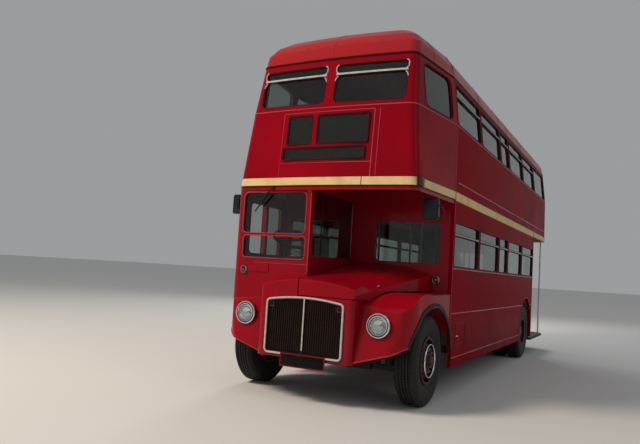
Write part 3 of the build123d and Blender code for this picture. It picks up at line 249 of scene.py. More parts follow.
def copied(*names):
    """One merged mesh made from copies of CAD nodes."""
    deselect()
    for name in names:
        nodes[name].select_set(True)
    bpy.context.view_layer.objects.active = nodes[names[0]]
    bpy.ops.object.duplicate()
    if len(names) > 1:
        bpy.ops.object.join()
    bpy.ops.object.parent_clear(type="CLEAR_KEEP_TRANSFORM")
    obj = bpy.context.active_object
    for key in list(obj.keys()):
        del obj[key]
    obj.data.materials.clear()
    pick(obj, lambda face: True)
    bpy.ops.mesh.remove_doubles(threshold=0.0001)
    done()
    bpy.ops.mesh.customdata_custom_splitnormals_clear()
    return obj


def twin(obj, move=(0, 0, 0)):
    """A copy with its own mesh, moved."""
    work_on(obj)
    bpy.ops.object.duplicate()
    made = bpy.context.active_object
    made.location = move
    settle()
    return made


def joined(pieces):
    deselect()
    for piece in pieces:
        piece.select_set(True)
    bpy.context.view_layer.objects.active = pieces[0]
    if len(pieces) > 1:
        bpy.ops.object.join()
    return bpy.context.active_object


def finished(obj, name, body, material, smooth_deg=35.0):
    """Name a piece or a joined list, shade it, finish it and let it ride on its body."""
    if isinstance(obj, list):
        obj = joined(obj)
    work_on(obj)
    settle()
    bpy.ops.object.shade_smooth_by_angle(angle=math.radians(smooth_deg))
    obj.name = name
    obj.data.name = name
    obj.data.materials.clear()
    obj.data.materials.append(material)
    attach(obj, body)
    print(name, len(obj.data.polygons), "faces")
    return obj


# %% [markdown]
# Colours are written as the painter's sRGB hex values and one function turns them to linear
# light. One more adds a node with its settings and links, and a pattern's scale comes from a
# real size in millimetres.

# %% Helpers for materials


def srgb(text):
    """A hex colour as linear red, green, blue and alpha."""
    parts = [int(text[i : i + 2], 16) / 255 for i in (1, 3, 5)]
    return tuple(p / 12.92 if p <= 0.04045 else ((p + 0.055) / 1.055) ** 2.4 for p in parts) + (1.0,)


def node(tree, kind, inputs=None, **settings):
    """Add a node, set it up, and set or link its inputs."""
    made = tree.nodes.new(kind)
    for name, value in settings.items():
        setattr(made, name, value)
    for name, value in (inputs or {}).items():
        if isinstance(value, bpy.types.NodeSocket):
            tree.links.new(value, made.inputs[name])
        else:
            made.inputs[name].default_value = value
    return made


def per_mm(size):
    """The pattern scale that makes one feature this many millimetres long."""
    return 1000.0 / size


def new_material(name, **constants):
    """A material with one Principled shader, its plain values set on the shader itself."""
    material = bpy.data.materials.new(name)
    material.use_nodes = True
    tree = material.node_tree
    shader = tree.nodes["Principled BSDF"]
    for socket, value in constants.items():
        shader.inputs[socket.replace("_", " ")].default_value = value
    place = node(tree, "ShaderNodeTexCoord").outputs["Object"]
    return material, tree, shader, place


def noise(tree, place, size_mm, detail=4.0, roughness=0.5):
    settings = {"Vector": place, "Scale": per_mm(size_mm), "Detail": detail, "Roughness": roughness}
    return node(tree, "ShaderNodeTexNoise", settings).outputs["Fac"]


def ramp(tree, value, low, high, from_value=0.0, to_value=1.0):
    """Map a value from one range to another and hold it there."""
    settings = {"Value": value, "From Min": low, "From Max": high}
    settings["To Min"] = from_value
    settings["To Max"] = to_value
    return node(tree, "ShaderNodeMapRange", settings).outputs["Result"]


def mix(tree, amount, first, second):
    made = node(tree, "ShaderNodeMix", {"Factor": amount}, data_type="RGBA")
    for socket, value in ((6, first), (7, second)):
        if isinstance(value, bpy.types.NodeSocket):
            tree.links.new(value, made.inputs[socket])
        else:
            made.inputs[socket].default_value = value
    return made.outputs[2]


def maths(tree, operation, first, second=0.0):
    return node(tree, "ShaderNodeMath", {0: first, 1: second}, operation=operation).outputs[0]


def bump(tree, height, strength, depth_mm):
    settings = {"Height": height, "Strength": strength, "Distance": depth_mm / 1000}
    return node(tree, "ShaderNodeBump", settings).outputs["Normal"]


def link(tree, value, shader, socket):
    tree.links.new(value, shader.inputs[socket])


# %% [markdown]
# Coach enamel is brushed and flatted, then varnished: a deep red with a clear gloss over it. The
# eye gets three things from it. The long panels are never quite flat, so reflections wander over
# half a metre. The skin has a fine orange peel. Road film dulls it low down. The cream band is
# the same paint, masked by height.

# %% Coach enamel
BAND_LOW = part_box("upper_front")[0].z
BAND_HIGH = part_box("lower_side_near")[1].z


def coach_enamel(name, red, faded, dusty_top, band=True, chalk=0.0, gloss=0.14):
    made = new_material(
        name, Roughness=0.22, Coat_Weight=gloss, Coat_Roughness=0.05, Specular_IOR_Level=gloss
    )
    material, tree, shader, place = made
    height = node(tree, "ShaderNodeSeparateXYZ", {"Vector": place}).outputs["Z"]
    weather = noise(tree, place, 900, detail=3)
    colour = mix(tree, ramp(tree, weather, 0.35, 0.75), srgb(red), srgb(faded))
    if band:
        over = maths(tree, "GREATER_THAN", height, BAND_LOW)
        under = maths(tree, "LESS_THAN", height, BAND_HIGH)
        stained = noise(tree, place, 160, detail=7, roughness=0.6)
        cream = mix(tree, ramp(tree, stained, 0.45, 0.85), srgb("#E0C58B"), srgb("#C2A56D"))
        colour = mix(tree, maths(tree, "MULTIPLY", over, under), colour, cream)
    streaks = noise(tree, place, 330, detail=9, roughness=0.55)
    low = ramp(tree, height, 0.25, dusty_top, 1.0, 0.0)
    film = maths(tree, "MULTIPLY", low, ramp(tree, streaks, 0.3, 0.75))
    colour = mix(tree, maths(tree, "MULTIPLY", film, 0.3), colour, srgb("#2A1310"))
    fleck = ramp(tree, noise(tree, place, 9, detail=2), 0.70, 0.76)
    colour = mix(tree, maths(tree, "MULTIPLY", fleck, 0.25), colour, srgb("#4A1213"))
    link(tree, colour, shader, "Base Color")
    dull = maths(tree, "ADD", maths(tree, "MULTIPLY", film, 0.15), 0.2 + chalk)
    rubbed = maths(tree, "MULTIPLY", ramp(tree, streaks, 0.4, 0.8), 0.10)
    link(tree, maths(tree, "ADD", dull, rubbed), shader, "Roughness")
    waves = bump(tree, noise(tree, place, 520, detail=1), 0.25, 1.6)
    peel = node(
        tree,
        "ShaderNodeBump",
        {"Height": noise(tree, place, 4, detail=1), "Strength": 0.05, "Distance": 0.0004, "Normal": waves},
    ).outputs["Normal"]
    link(tree, peel, shader, "Normal")
    return material


enamel = coach_enamel("red_coach_enamel", "#94061A", "#7E0717", 0.9, gloss=0.04)
# The flanks take a shaded copy of the coach enamel, a little darker red and almost without gloss: painted
# shade for the sides that face away from the lamps.
shade_darkened_flank_enamel = coach_enamel("dull_shade_darkened_flank_enamel", "#8C0618", "#780716", 0.9, gloss=0.003)
plain_enamel = coach_enamel("plain_red_enamel", "#96061A", "#820718", 0.8, band=False)
roof_enamel = coach_enamel("sun_faded_roof_enamel", "#A31A20", "#93262A", 0.3, band=False, chalk=0.10)
# Beads get a lighter, pinker red that turns pink in patches: partly rubbed wear, partly a painted highlight
# for the light a bead's round edge catches.
highlit_bead_enamel = coach_enamel("rubbed_and_highlit_bead_enamel", "#A82432", "#B8525C", 0.9, band=False)
# A near black red for beads and frames whose own paint is the body red: painted shade, the dark lines along
# the cream band, under the gutter, round the display glasses and round the hatch.
shade_dark_bead_enamel = coach_enamel("shade_dark_bead_enamel", "#46090F", "#33070B", 0.9, band=False)
print("enamels ready, band from", round(BAND_LOW, 3), "to", round(BAND_HIGH, 3))

# %% [markdown]
# Inside, the panels are sprayed in a semi-gloss maroon and worn by coats and hands. The floors
# are hardwood slats on boards, which read as fine ridges with grey tread marks between them.

# %% Inside finishes


def inside_enamel(name, colour, worn):
    material, tree, shader, place = new_material(name, Specular_IOR_Level=0.4)
    rubbed = ramp(tree, noise(tree, place, 180, detail=7, roughness=0.65), 0.45, 0.75)
    link(tree, mix(tree, rubbed, srgb(colour), srgb(worn)), shader, "Base Color")
    link(tree, maths(tree, "ADD", maths(tree, "MULTIPLY", rubbed, 0.2), 0.38), shader, "Roughness")
    link(tree, bump(tree, noise(tree, place, 3, detail=2), 0.12, 0.3), shader, "Normal")
    return material


maroon = inside_enamel("maroon_inside_enamel", "#5B1A18", "#6E2B25")
pole_enamel = inside_enamel("white_pole_enamel", "#D8D6CC", "#B9B3A4")


def slatted_floor():
    material, tree, shader, place = new_material("slatted_hardwood", Specular_IOR_Level=0.3)
    across = node(tree, "ShaderNodeSeparateXYZ", {"Vector": place}).outputs["X"]
    stripe = maths(tree, "SINE", maths(tree, "MULTIPLY", across, 2 * math.pi * per_mm(24)))
    ridge = ramp(tree, stripe, -0.3, 0.1)
    stretched = node(tree, "ShaderNodeMapping", {"Vector": place, "Scale": (12, 1, 12)}).outputs[0]
    grain = noise(tree, stretched, 60, detail=8, roughness=0.6)
    wood = mix(tree, grain, srgb("#4A3B2C"), srgb("#75604A"))
    grime = ramp(tree, noise(tree, place, 250, detail=5), 0.4, 0.7)
    wood = mix(tree, maths(tree, "MULTIPLY", grime, 0.5), wood, srgb("#3A3733"))
    link(tree, mix(tree, ridge, srgb("#1F1B18"), wood), shader, "Base Color")
    link(tree, ramp(tree, grain, 0.2, 0.8, 0.45, 0.8), shader, "Roughness")
    link(tree, bump(tree, ridge, 0.8, 4), shader, "Normal")
    return material


floor_wood = slatted_floor()
print("inside finishes ready")

# %% [markdown]
# The bright work is of two kinds. Lamp rims are chromed brass, sharp and dark in the shade. The
# grille's surround and the window pans are aluminium that has gone grey, so they spread light.

# %% Metals


def metal(name, colour, roughness, worn, patch_mm, scratch=0.08, metallic=1.0):
    material, tree, shader, place = new_material(name, Metallic=metallic)
    patch = noise(tree, place, patch_mm, detail=6, roughness=0.6)
    link(tree, mix(tree, ramp(tree, patch, 0.4, 0.75), srgb(colour), srgb(worn)), shader, "Base Color")
    link(tree, ramp(tree, patch, 0.3, 0.8, roughness, roughness + 0.22), shader, "Roughness")
    link(tree, bump(tree, noise(tree, place, 2.5, detail=3), scratch, 0.2), shader, "Normal")
    return material


chrome = metal("chromed_brass", "#E4E5E6", 0.05, "#C9C9C6", 30, 0.03)
aluminium = metal("dulled_aluminium", "#B9B9B5", 0.30, "#8E8C86", 80)
steel = metal("zinc_plated_steel", "#9A9A96", 0.35, "#6E6A62", 25)
# The rails' oxide film is thick and chalky, so part of it spreads light like a pale paint.
oxide_rail = metal("anodised_rail_aluminium", "#DCDAD4", 0.35, "#BDB8AE", 60, metallic=0.45)

# %% [markdown]
# Underneath, the castings and frames are painted black and then coated by years of road dirt,
# which is brown, matt and thicker in the corners.

# %% Chassis paint, iron, rubber


def grimy(name, colour, dirt, roughness, patch_mm=120.0, rise=0.6, depth=1.0):
    material, tree, shader, place = new_material(name, Specular_IOR_Level=0.35)
    cover = ramp(tree, noise(tree, place, patch_mm, detail=8, roughness=0.7), 0.38, 0.68)
    link(tree, mix(tree, cover, srgb(colour), srgb(dirt)), shader, "Base Color")
    link(tree, maths(tree, "ADD", maths(tree, "MULTIPLY", cover, 0.25), roughness), shader, "Roughness")
    link(tree, bump(tree, noise(tree, place, 8, detail=6), rise, depth), shader, "Normal")
    return material


silvered = metal("silvered_glass", "#F2F3F4", 0.03, "#E2E4E4", 60, 0.01)
grille_finish = grimy("bronze_black_grille_paint", "#1D120D", "#2E1F17", 0.4, 90, 0.3, 0.4)
pan_paint = grimy("dark_pan_paint", "#1A1212", "#2B1C1A", 0.4, 80, 0.2, 0.3)
chassis = grimy("black_chassis_paint", "#131313", "#3A3128", 0.5)
iron = grimy("oily_cast_iron", "#2A2927", "#1C1712", 0.45)
wheel_paint = grimy("red_wheel_enamel", "#471014", "#2C1A16", 0.35, 60, 0.3, 0.5)
black_rubber = grimy("glazing_rubber", "#101010", "#1E1D1B", 0.5, 50, 0.1, 0.2)
gloss_black = grimy("gloss_black_enamel", "#0C0C0D", "#1B1917", 0.16, 200, 0.05, 0.2)
blue_black = grimy("blue_black_mirror_paint", "#12181F", "#1D242B", 0.22, 200, 0.05, 0.2)


def tyre_rubber():
    """Black carcass, dusty where the flank bulges, scuffed grey on the tread's crown."""
    material, tree, shader, place = new_material("worn_tyre_rubber", Specular_IOR_Level=0.3)
    split = node(tree, "ShaderNodeSeparateXYZ", {"Vector": place}).outputs
    dust = ramp(tree, noise(tree, place, 35, detail=8, roughness=0.7), 0.4, 0.72)
    low = ramp(tree, split["Z"], 0.0, 0.35, 0.55, 0.2)
    link(
        tree,
        mix(tree, maths(tree, "MULTIPLY", dust, low), srgb("#141414"), srgb("#57504A")),
        shader,
        "Base Color",
    )
    link(tree, ramp(tree, dust, 0.0, 1.0, 0.55, 0.85), shader, "Roughness")
    link(tree, bump(tree, noise(tree, place, 3, detail=4), 0.25, 0.4), shader, "Normal")
    return material


rubber = tyre_rubber()
print("metals, chassis paint and rubber ready")

# %% [markdown]
# The glass is flat safety glass, clear with a faint grey-green body. Light from the lamps has to
# reach the seats behind it, so for a shadow ray the pane is replaced by a tinted clear film.

# %% Glass and lenses


def glass(name, tint, roughness=0.015, film="#DDE4E0"):
    material, tree, shader, place = new_material(
        name, Transmission_Weight=1.0, IOR=1.45, Roughness=roughness
    )
    grime = ramp(tree, noise(tree, place, 300, detail=8, roughness=0.7), 0.45, 0.9)
    colour = mix(tree, maths(tree, "MULTIPLY", grime, 0.25), srgb(tint), srgb("#8F8A7C"))
    link(tree, colour, shader, "Base Color")
    clear = node(tree, "ShaderNodeBsdfTransparent", {"Color": srgb(film)})
    path = node(tree, "ShaderNodeLightPath")
    both = node(
        tree,
        "ShaderNodeMixShader",
        {0: path.outputs["Is Shadow Ray"], 1: shader.outputs[0], 2: clear.outputs[0]},
    )
    tree.links.new(both.outputs[0], tree.nodes["Material Output"].inputs["Surface"])
    return material


window_pane = glass("flat_safety_glass", "#B9C2BC")
lens_clear = glass("fluted_lamp_glass", "#F4F6F6", roughness=0.05)
lens_red = glass("red_lamp_lens", "#B3140F", roughness=0.1, film="#B3140F")
lens_amber = glass("amber_lamp_lens", "#D0661A", roughness=0.1, film="#D0661A")


def blind_cloth():
    """Roller blind: black ink on linen, greyed by the sun, with a close weave."""
    material, tree, shader, place = new_material("roller_blind_linen", Roughness=0.8)
    worn = ramp(tree, noise(tree, place, 90, detail=7, roughness=0.65), 0.35, 0.8)
    link(tree, mix(tree, worn, srgb("#23231F"), srgb("#3C3B33")), shader, "Base Color")
    weave = node(tree, "ShaderNodeTexWave", {"Vector": place, "Scale": per_mm(6) / 6.28}, bands_direction="Z")
    link(tree, bump(tree, weave.outputs["Fac"], 0.2, 0.4), shader, "Normal")
    return material


blind = blind_cloth()


def moquette_cloth():
    """Woollen moquette: a cut pile with a woven check of brick red, dark red and ochre lines."""
    material, tree, shader, place = new_material(
        "woollen_moquette", Roughness=0.92, Sheen_Weight=0.35, Sheen_Roughness=0.5
    )
    split = node(tree, "ShaderNodeSeparateXYZ", {"Vector": place}).outputs
    colour = srgb("#7B2A22")
    rise = maths(tree, "ADD", split["Y"], split["Z"])
    for axis, line, width, pitch in (
        (split["X"], "#3A1512", 0.30, 96.0),
        (rise, "#3A1512", 0.30, 96.0),
        (split["X"], "#B58A3C", 0.045, 96.0),
        (rise, "#B58A3C", 0.045, 96.0),
    ):
        step = maths(tree, "FRACT", maths(tree, "MULTIPLY", axis, per_mm(pitch)))
        inside = maths(tree, "LESS_THAN", step, width)
        colour = mix(tree, maths(tree, "MULTIPLY", inside, 0.75), colour, srgb(line))
    pile = noise(tree, place, 2.5, detail=3)
    faded = mix(tree, ramp(tree, pile, 0.3, 0.8), colour, srgb("#5A3A33"))
    link(tree, mix(tree, 0.25, colour, faded), shader, "Base Color")
    link(tree, bump(tree, pile, 0.5, 1.2), shader, "Normal")
    return material


moquette = moquette_cloth()


def plate_face():
    material, tree, shader, place = new_material("black_plate_enamel", Specular_IOR_Level=0.15)
    dust = ramp(tree, noise(tree, place, 40, detail=7), 0.4, 0.8)
    link(tree, mix(tree, dust, srgb("#070708"), srgb("#100F0E")), shader, "Base Color")
    link(tree, ramp(tree, dust, 0, 1, 0.25, 0.5), shader, "Roughness")
    return material


plate_black = plate_face()
print("glass, blind, cloth and plate ready")

# %% [markdown]
# Every CAD node gets its finish. Later cells put a finer piece in the place of some of them.

# %% Finishes for the CAD nodes
finishes = {
    enamel: "upper_front upper_rear lower_rear_wall",
    shade_darkened_flank_enamel: "upper_side_near upper_side_off lower_side_near lower_side_off",
    plain_enamel: "front_bulkhead cab_front cab_off_side cab_door bonnet front_cowl front_wings",
    roof_enamel: "roof",
    maroon: "rear_bulkhead cab_floor_and_side staircase seat_frames",
    floor_wood: "lower_floor upper_floor rear_platform",
    grille_finish: "radiator_grille",
    chassis: "subframes front_axle rear_axle fuel_tank knuckle_near knuckle_off",
    iron: "engine_block",
    pole_enamel: "grab_poles",
    gloss_black: "mirrors steering_column",
    blind: "display_boxes",
    window_pane: "window_glass",
    wheel_paint: "front_rim_near front_rim_off rear_rims_near rear_rims_off",
}
for material, names in finishes.items():
    for name in names.split():
        mesh = nodes[name].data
        mesh.materials.clear()
        mesh.materials.append(material)
        work_on(nodes[name])
        bpy.ops.object.shade_smooth_by_angle(angle=math.radians(30))
print(sum(len(names.split()) for names in finishes.values()), "nodes finished")

# %% [markdown]
# A CAD panel is made of loose flat triangles, so light breaks in steps on its curves. A merged
# copy takes the place of each curved panel. Its normals are weighted by the size of the faces,
# so that flat panels stay flat and only the domes, wings and corners run round.

# %% Curved panels merged and smoothed
stand_ins = {}


def formed(made, node_name, body, material, smooth_deg=35.0):
    finished(made, "formed_" + node_name, body, material, smooth_deg)
    apply(made, "WEIGHTED_NORMAL", keep_sharp=True)
    stand_ins[node_name] = made
    return made


for name in ("upper_front", "upper_rear", "lower_rear_wall"):
    formed(copied(name), name, "bus", enamel)
for name in ("upper_side_near", "upper_side_off"):
    formed(copied(name), name, "bus", shade_darkened_flank_enamel)
for name in ("cab_front", "front_cowl", "front_wings"):
    formed(copied(name), name, "bus", plain_enamel, 60)
formed(copied("bonnet"), "bonnet", "bonnet", plain_enamel, 50)
formed(copied("roof"), "roof", "bus", roof_enamel, 42)

# %% [markdown]
# The wall between the cab and the bonnet is mostly window: one wide opening from the cab's front
# pillar to the bulkhead and up to the canopy, with a sliding pane that ends in a black edge.

# %% The cab's side opening
cab_wall_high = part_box("cab_floor_and_side")[1]
side_low = Vector((cab_wall_high.x - 0.06, bulkhead_y - 1.135, 1.600))
side_high = Vector((cab_wall_high.x + 0.02, bulkhead_y - 0.050, 2.350))
opening = round_block(side_low, side_high, "x", 0.070)
cab_wall = copied("cab_floor_and_side")
apply(cab_wall, "BOOLEAN", operation="DIFFERENCE", object=opening)
bpy.data.objects.remove(opening)
formed(cab_wall, "cab_floor_and_side", "bus", plain_enamel)

# %% The cab's side glass
glass_x = cab_wall_high.x - 0.019
margin = Vector((0, 0.003, 0.003))
side_pane = round_block(
    Vector((glass_x - 0.003, side_low.y, side_low.z)) + margin,
    Vector((glass_x + 0.003, side_high.y, side_high.z)) - margin,
    "x",
    0.067,
)
panes = copied("window_glass")


def not_side_pane(face):
    """True for every pane but the CAD's own one in the cab's side."""
    return abs(face.center.x - glass_x) >= 0.006 or not -4.1 < face.center.y < bulkhead_y


keep_only(panes, not_side_pane)
glazing = finished([panes, side_pane], "glazing", "bus", window_pane, 8)
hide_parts("window_glass")
pane_edge_y = bulkhead_y - 0.897
edge_half = Vector((0.008, 0.008, 0))
edge_low = Vector((glass_x, pane_edge_y, side_low.z)) - edge_half
edge_high = Vector((glass_x, pane_edge_y, side_high.z)) + edge_half
pane_edge = block(edge_low, edge_high, 0.003)
finished(pane_edge, "cab_side_glass_edge", "bus", black_rubber)

# %% [markdown]
# The body's outer skin is copied once from the panels: copies of the nodes are merged and only
# the faces that look away from the bus's middle line are kept. Beads and window rims are then
# lines of that skin, cut by a plane or taken from its open edges, and rounded as a curve is.

# %% The outer skin
SPINE = (bulkhead_y - 0.16, rear_bulkhead_y + 0.57)


def looks_out(face):
    """True for a face that looks away from the bus's middle line."""
    middle = face.center
    nearest = min(max(middle.y, SPINE[0]), SPINE[1])
    away = Vector((middle.x, middle.y - nearest, 0)).normalized()
    return face.normal.dot(away) > 0.6


def skin_of(*names):
    made = copied(*names)
    keep_only(made, looks_out)
    return made


upper_skin = skin_of("upper_front", "upper_side_near", "upper_side_off", "upper_rear")
lower_skin = skin_of("lower_side_near", "lower_side_off", "lower_rear_wall")
cab_skin = skin_of("cab_front", "cab_off_side")
wing_skin = skin_of("front_wings")
skins = [upper_skin, lower_skin, cab_skin, wing_skin]
print("skins", [len(skin.data.polygons) for skin in skins])


def only_selected_edges(obj):
    """Keep just the edges that are selected in edit mode, as loose lines."""
    bpy.ops.mesh.duplicate()
    bpy.ops.mesh.select_all(action="INVERT")
    bpy.ops.mesh.delete(type="VERT")
    done()
    return obj


def trimmed(skin, limits):
    """A copy of the skin cut off behind each limiting plane."""
    made = twin(skin)
    for point, normal in limits:
        bpy.ops.object.mode_set(mode="EDIT")
        bpy.ops.mesh.select_all(action="SELECT")
        bpy.ops.mesh.bisect(plane_co=point, plane_no=normal, clear_inner=True)
        done()
    return made


def cut_line(skin, point, normal, limits=()):
    """The line in which a plane meets the skin."""
    made = trimmed(skin, limits)
    bpy.ops.object.mode_set(mode="EDIT")
    bpy.ops.mesh.select_mode(type="EDGE")
    bpy.ops.mesh.select_all(action="SELECT")
    bpy.ops.mesh.bisect(plane_co=point, plane_no=normal)
    return only_selected_edges(made)


def open_edges(skin, test):
    """The open edges of the skin whose middle passes the test."""
    made = twin(skin)
    bpy.ops.object.mode_set(mode="EDIT")
    bpy.ops.mesh.select_mode(type="EDGE")
    bpy.ops.mesh.select_all(action="DESELECT")
    bpy.ops.mesh.select_non_manifold(
        extend=False, use_wire=False, use_multi_face=False, use_non_contiguous=False, use_verts=False
    )
    done()
    points = made.data.vertices
    wanted = set()
    for edge in made.data.edges:
        middle = (points[edge.vertices[0]].co + points[edge.vertices[1]].co) / 2
        if edge.select and test(middle):
            wanted.add(edge.index)
    pick(made, lambda edge: edge.index in wanted, "EDGE")
    return only_selected_edges(made)


def rounded(lines, radius, move=(0, 0, 0)):
    """Turn loose lines into a round bead."""
    work_on(lines)
    lines.location = move
    settle()
    bpy.ops.object.convert(target="CURVE")
    made = bpy.context.active_object
    made.data.bevel_depth = radius
    made.data.bevel_resolution = 2
    made.data.use_fill_caps = True
    bpy.ops.object.convert(target="MESH")
    return bpy.context.active_object


def strip(skin, planes, proud):
    """A slice of the skin, kept on the side each plane looks to, and raised by proud."""
    made = trimmed(skin, planes)
    apply(made, "SOLIDIFY", thickness=proud, offset=1.0, use_even_offset=True)
    return made


def between(axis, low, high):
    """Two planes that keep what lies between two values along an axis."""
    return [(AXES[axis] * low, AXES[axis]), (AXES[axis] * high, -AXES[axis])]


def level(z, height):
    """Two planes that keep a level band."""
    return between("z", z - height / 2, z + height / 2)


UP, ACROSS, ALONG = (0, 0, 1), (1, 0, 0), (0, 1, 0)
ahead = [((0, bulkhead_y - 0.5, 0), (0, -1, 0))]

# %% [markdown]
# Beads of half-round section cover every joint between the panels. They are listed by height,
# with the skin each is cut from, its height and its radius.

# %% Body beads
abaft = [((0, bulkhead_y + 0.09, 0), (0, 1, 0))]
bead_levels = (
    (lower_skin, 0.480, 0.007, ()),
    (lower_skin, 1.015, 0.008, ()),
    (lower_skin, 1.560, 0.009, ()),
    (lower_skin, BAND_LOW - 0.006, 0.005, ()),
    (upper_skin, 2.616, 0.009, abaft),
    (upper_skin, 3.308, 0.008, ()),
)
beads = [rounded(cut_line(skin, (0, 0, z), UP, limits), radius) for skin, z, radius, limits in bead_levels]
# the joints between the front, side and rear panels of the upper deck
for y in (bulkhead_y + 0.004, corner_y):
    beads.append(rounded(cut_line(upper_skin, (0, y, 0), ALONG), 0.006))
for y in (bulkhead_y + 0.012, rear_bulkhead_y - 0.012):
    beads.append(rounded(cut_line(lower_skin, (0, y, 0), ALONG), 0.007))
finished(beads, "body_beads", "bus", highlit_bead_enamel)

# %% Painted shade lines above and below the cream band
band_lines = [
    rounded(cut_line(upper_skin, (0, 0, BAND_HIGH + 0.004), UP), 0.005),
    rounded(cut_line(upper_skin, (0, 0, BAND_LOW + 0.004), UP), 0.006),
]
finished(band_lines, "cream_band_beads", "bus", shade_dark_bead_enamel)

# %% Rain gutter
gutter_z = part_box("roof")[0].z
# The gutter is in the near black bead red: painted shade under the roof's edge.
gutter = [
    rounded(cut_line(upper_skin, (0, 0, gutter_z - 0.012), UP), 0.011),
    rounded(cut_line(upper_skin, (0, 0, gutter_z - 0.030), UP), 0.005),
]
finished(gutter, "rain_gutter", "bus", shade_dark_bead_enamel)

# %% [markdown]
# The roof is made of bays of sheet that overlap in shallow seams, with one more along the
# middle of the front dome.

# %% Roof seams
roof_skin = copied("roof")
keep_only(roof_skin, lambda face: face.normal.z > 0.02 or looks_out(face))
skins.append(roof_skin)
over_gutter = [((0, 0, gutter_z + 0.02), (0, 0, 1))]
seams = []
for y in (bulkhead_y - 0.55, bulkhead_y, -1.825, -0.510, 0.200, 1.515, rear_bulkhead_y, corner_y - 0.10):
    seams.append(rounded(cut_line(roof_skin, (0, y, 0), ALONG, over_gutter), 0.004))
dome_front = over_gutter + [((0, bulkhead_y - 0.55, 0), (0, -1, 0))]
seams.append(rounded(cut_line(roof_skin, (-0.02, 0, 0), ACROSS, dome_front), 0.003))
finished(seams, "roof_seams", "bus", roof_enamel)

# %% [markdown]
# The front of the upper deck carries a framed panel round its three display boxes: upright
# seams, a head and a foot bead, and a rounded bead round each pair of glasses.

# %% Display panel beads
panel = {"left": -0.56, "right": 0.60, "outer": 0.66, "foot": 2.660, "head": 3.262}
panel_foot = between("z", BAND_HIGH, panel["head"])
panel_span = between("x", panel["left"], panel["right"])
panel_beads = []
for x, radius in ((panel["left"], 0.006), (panel["right"], 0.006), (panel["outer"], 0.004)):
    panel_beads.append(rounded(cut_line(upper_skin, (x, 0, 0), ACROSS, panel_foot + ahead), radius))
for z, radius in ((panel["head"], 0.006), (panel["foot"], 0.005)):
    panel_beads.append(rounded(cut_line(upper_skin, (0, 0, z), UP, panel_span + ahead), radius))
finished(panel_beads, "display_panel_beads", "bus", highlit_bead_enamel)

# %% [markdown]
# Each window has a rubber-lined pan that covers the cut edge of its panel. The outline is an open
# edge of the skin, so it is taken from there, and the depth of the opening is lined with the
# faces of the frame inside it.

# %% Window rims
LOWER_LIGHTS = (1.575, 2.135)
UPPER_LIGHTS = (3.32, 3.86)
LOWER_RAIL, UPPER_RAIL, FRONT_RAIL = 1.975, 3.700, 3.713


def on_flank(middle):
    return bulkhead_y - 0.95 < middle.y < corner_y - 0.01 and abs(middle.x) > 1.0


def flank_pane(middle):
    """On the outline of a window in either side."""
    in_row = any(low < middle.z < high for low, high in (LOWER_LIGHTS, UPPER_LIGHTS))
    at_end = any(abs(middle.y - end) < 0.01 for end in (bulkhead_y, rear_bulkhead_y, corner_y))
    return on_flank(middle) and in_row and not at_end


def front_pane(middle):
    return middle.y < bulkhead_y - 0.9 and 3.34 < middle.z < 3.85 and abs(middle.x) < 0.96


def rear_pane(middle):
    return middle.y > corner_y + 0.15 and 3.32 < middle.z < 3.85


def display_pane(middle):
    at_end = middle.y < bulkhead_y - 0.9 or middle.y > corner_y + 0.15
    return at_end and 2.69 < middle.z < 3.24


side_rims = [
    rounded(open_edges(upper_skin, flank_pane), 0.006),
    rounded(open_edges(lower_skin, flank_pane), 0.006),
    rounded(open_edges(lower_skin, lambda m: m.y > corner_y + 0.15 and 1.5 < m.z < 2.1), 0.006),
    rounded(open_edges(upper_skin, rear_pane), 0.006),
    rounded(open_edges(upper_skin, front_pane), 0.005),
]
finished(side_rims, "window_rubbers", "bus", black_rubber)


def windscreen_pane(middle):
    return middle.x < -0.13 and middle.y < bulkhead_y - 1.0 and 1.52 < middle.z < 2.35


def cab_side_pane(middle):
    return middle.y > bulkhead_y - 1.03 and 1.29 < middle.z < 2.32


cab_rims = [
    rounded(open_edges(cab_skin, windscreen_pane), 0.007),
    rounded(open_edges(cab_skin, cab_side_pane), 0.006),
]
finished(cab_rims, "cab_window_frames", "bus", highlit_bead_enamel)

# %% [markdown]
# Each display box looks out through its own glass in a rounded frame. The frame is a flat plane
# with rounded corners, inset to a ring, thickened, eased, and leant back with the wall.

# %% Display frames and glasses
WALL_LEAN = math.atan2(0.075, 0.919)
# left, right, foot, head
display_places = (
    (-0.490, -0.170, 2.885, 3.225),
    (-0.100, 0.540, 2.885, 3.225),
    (-0.525, 0.515, 2.700, 2.840),
)


WALL_OUT, WALL_BOW, WALL_HALF = 1.240, 0.050, 1.14


def wall_front(x, z):
    """The front wall's outer face: bowed in plan and leaning back with height."""
    return bulkhead_y - WALL_OUT + 0.0816 * (z - BAND_LOW) + WALL_BOW * (x / WALL_HALF) ** 2


def leant(obj, middle):
    """Lay a flat piece from the XY plane against the front wall."""
    work_on(obj)
    obj.rotation_euler = (math.pi / 2 - WALL_LEAN, 0, 0)
    obj.location = middle
    settle()
    return obj


def rounded_plane(width, height, radius):
    deselect()
    bpy.ops.mesh.primitive_plane_add(size=1)
    made = bpy.context.active_object
    made.scale = (width, height, 1)
    settle()
    bpy.ops.object.mode_set(mode="EDIT")
    bpy.ops.mesh.select_all(action="SELECT")
    bpy.ops.mesh.bevel(offset=radius, segments=6, affect="VERTICES")
    bpy.ops.mesh.select_all(action="SELECT")
    return made


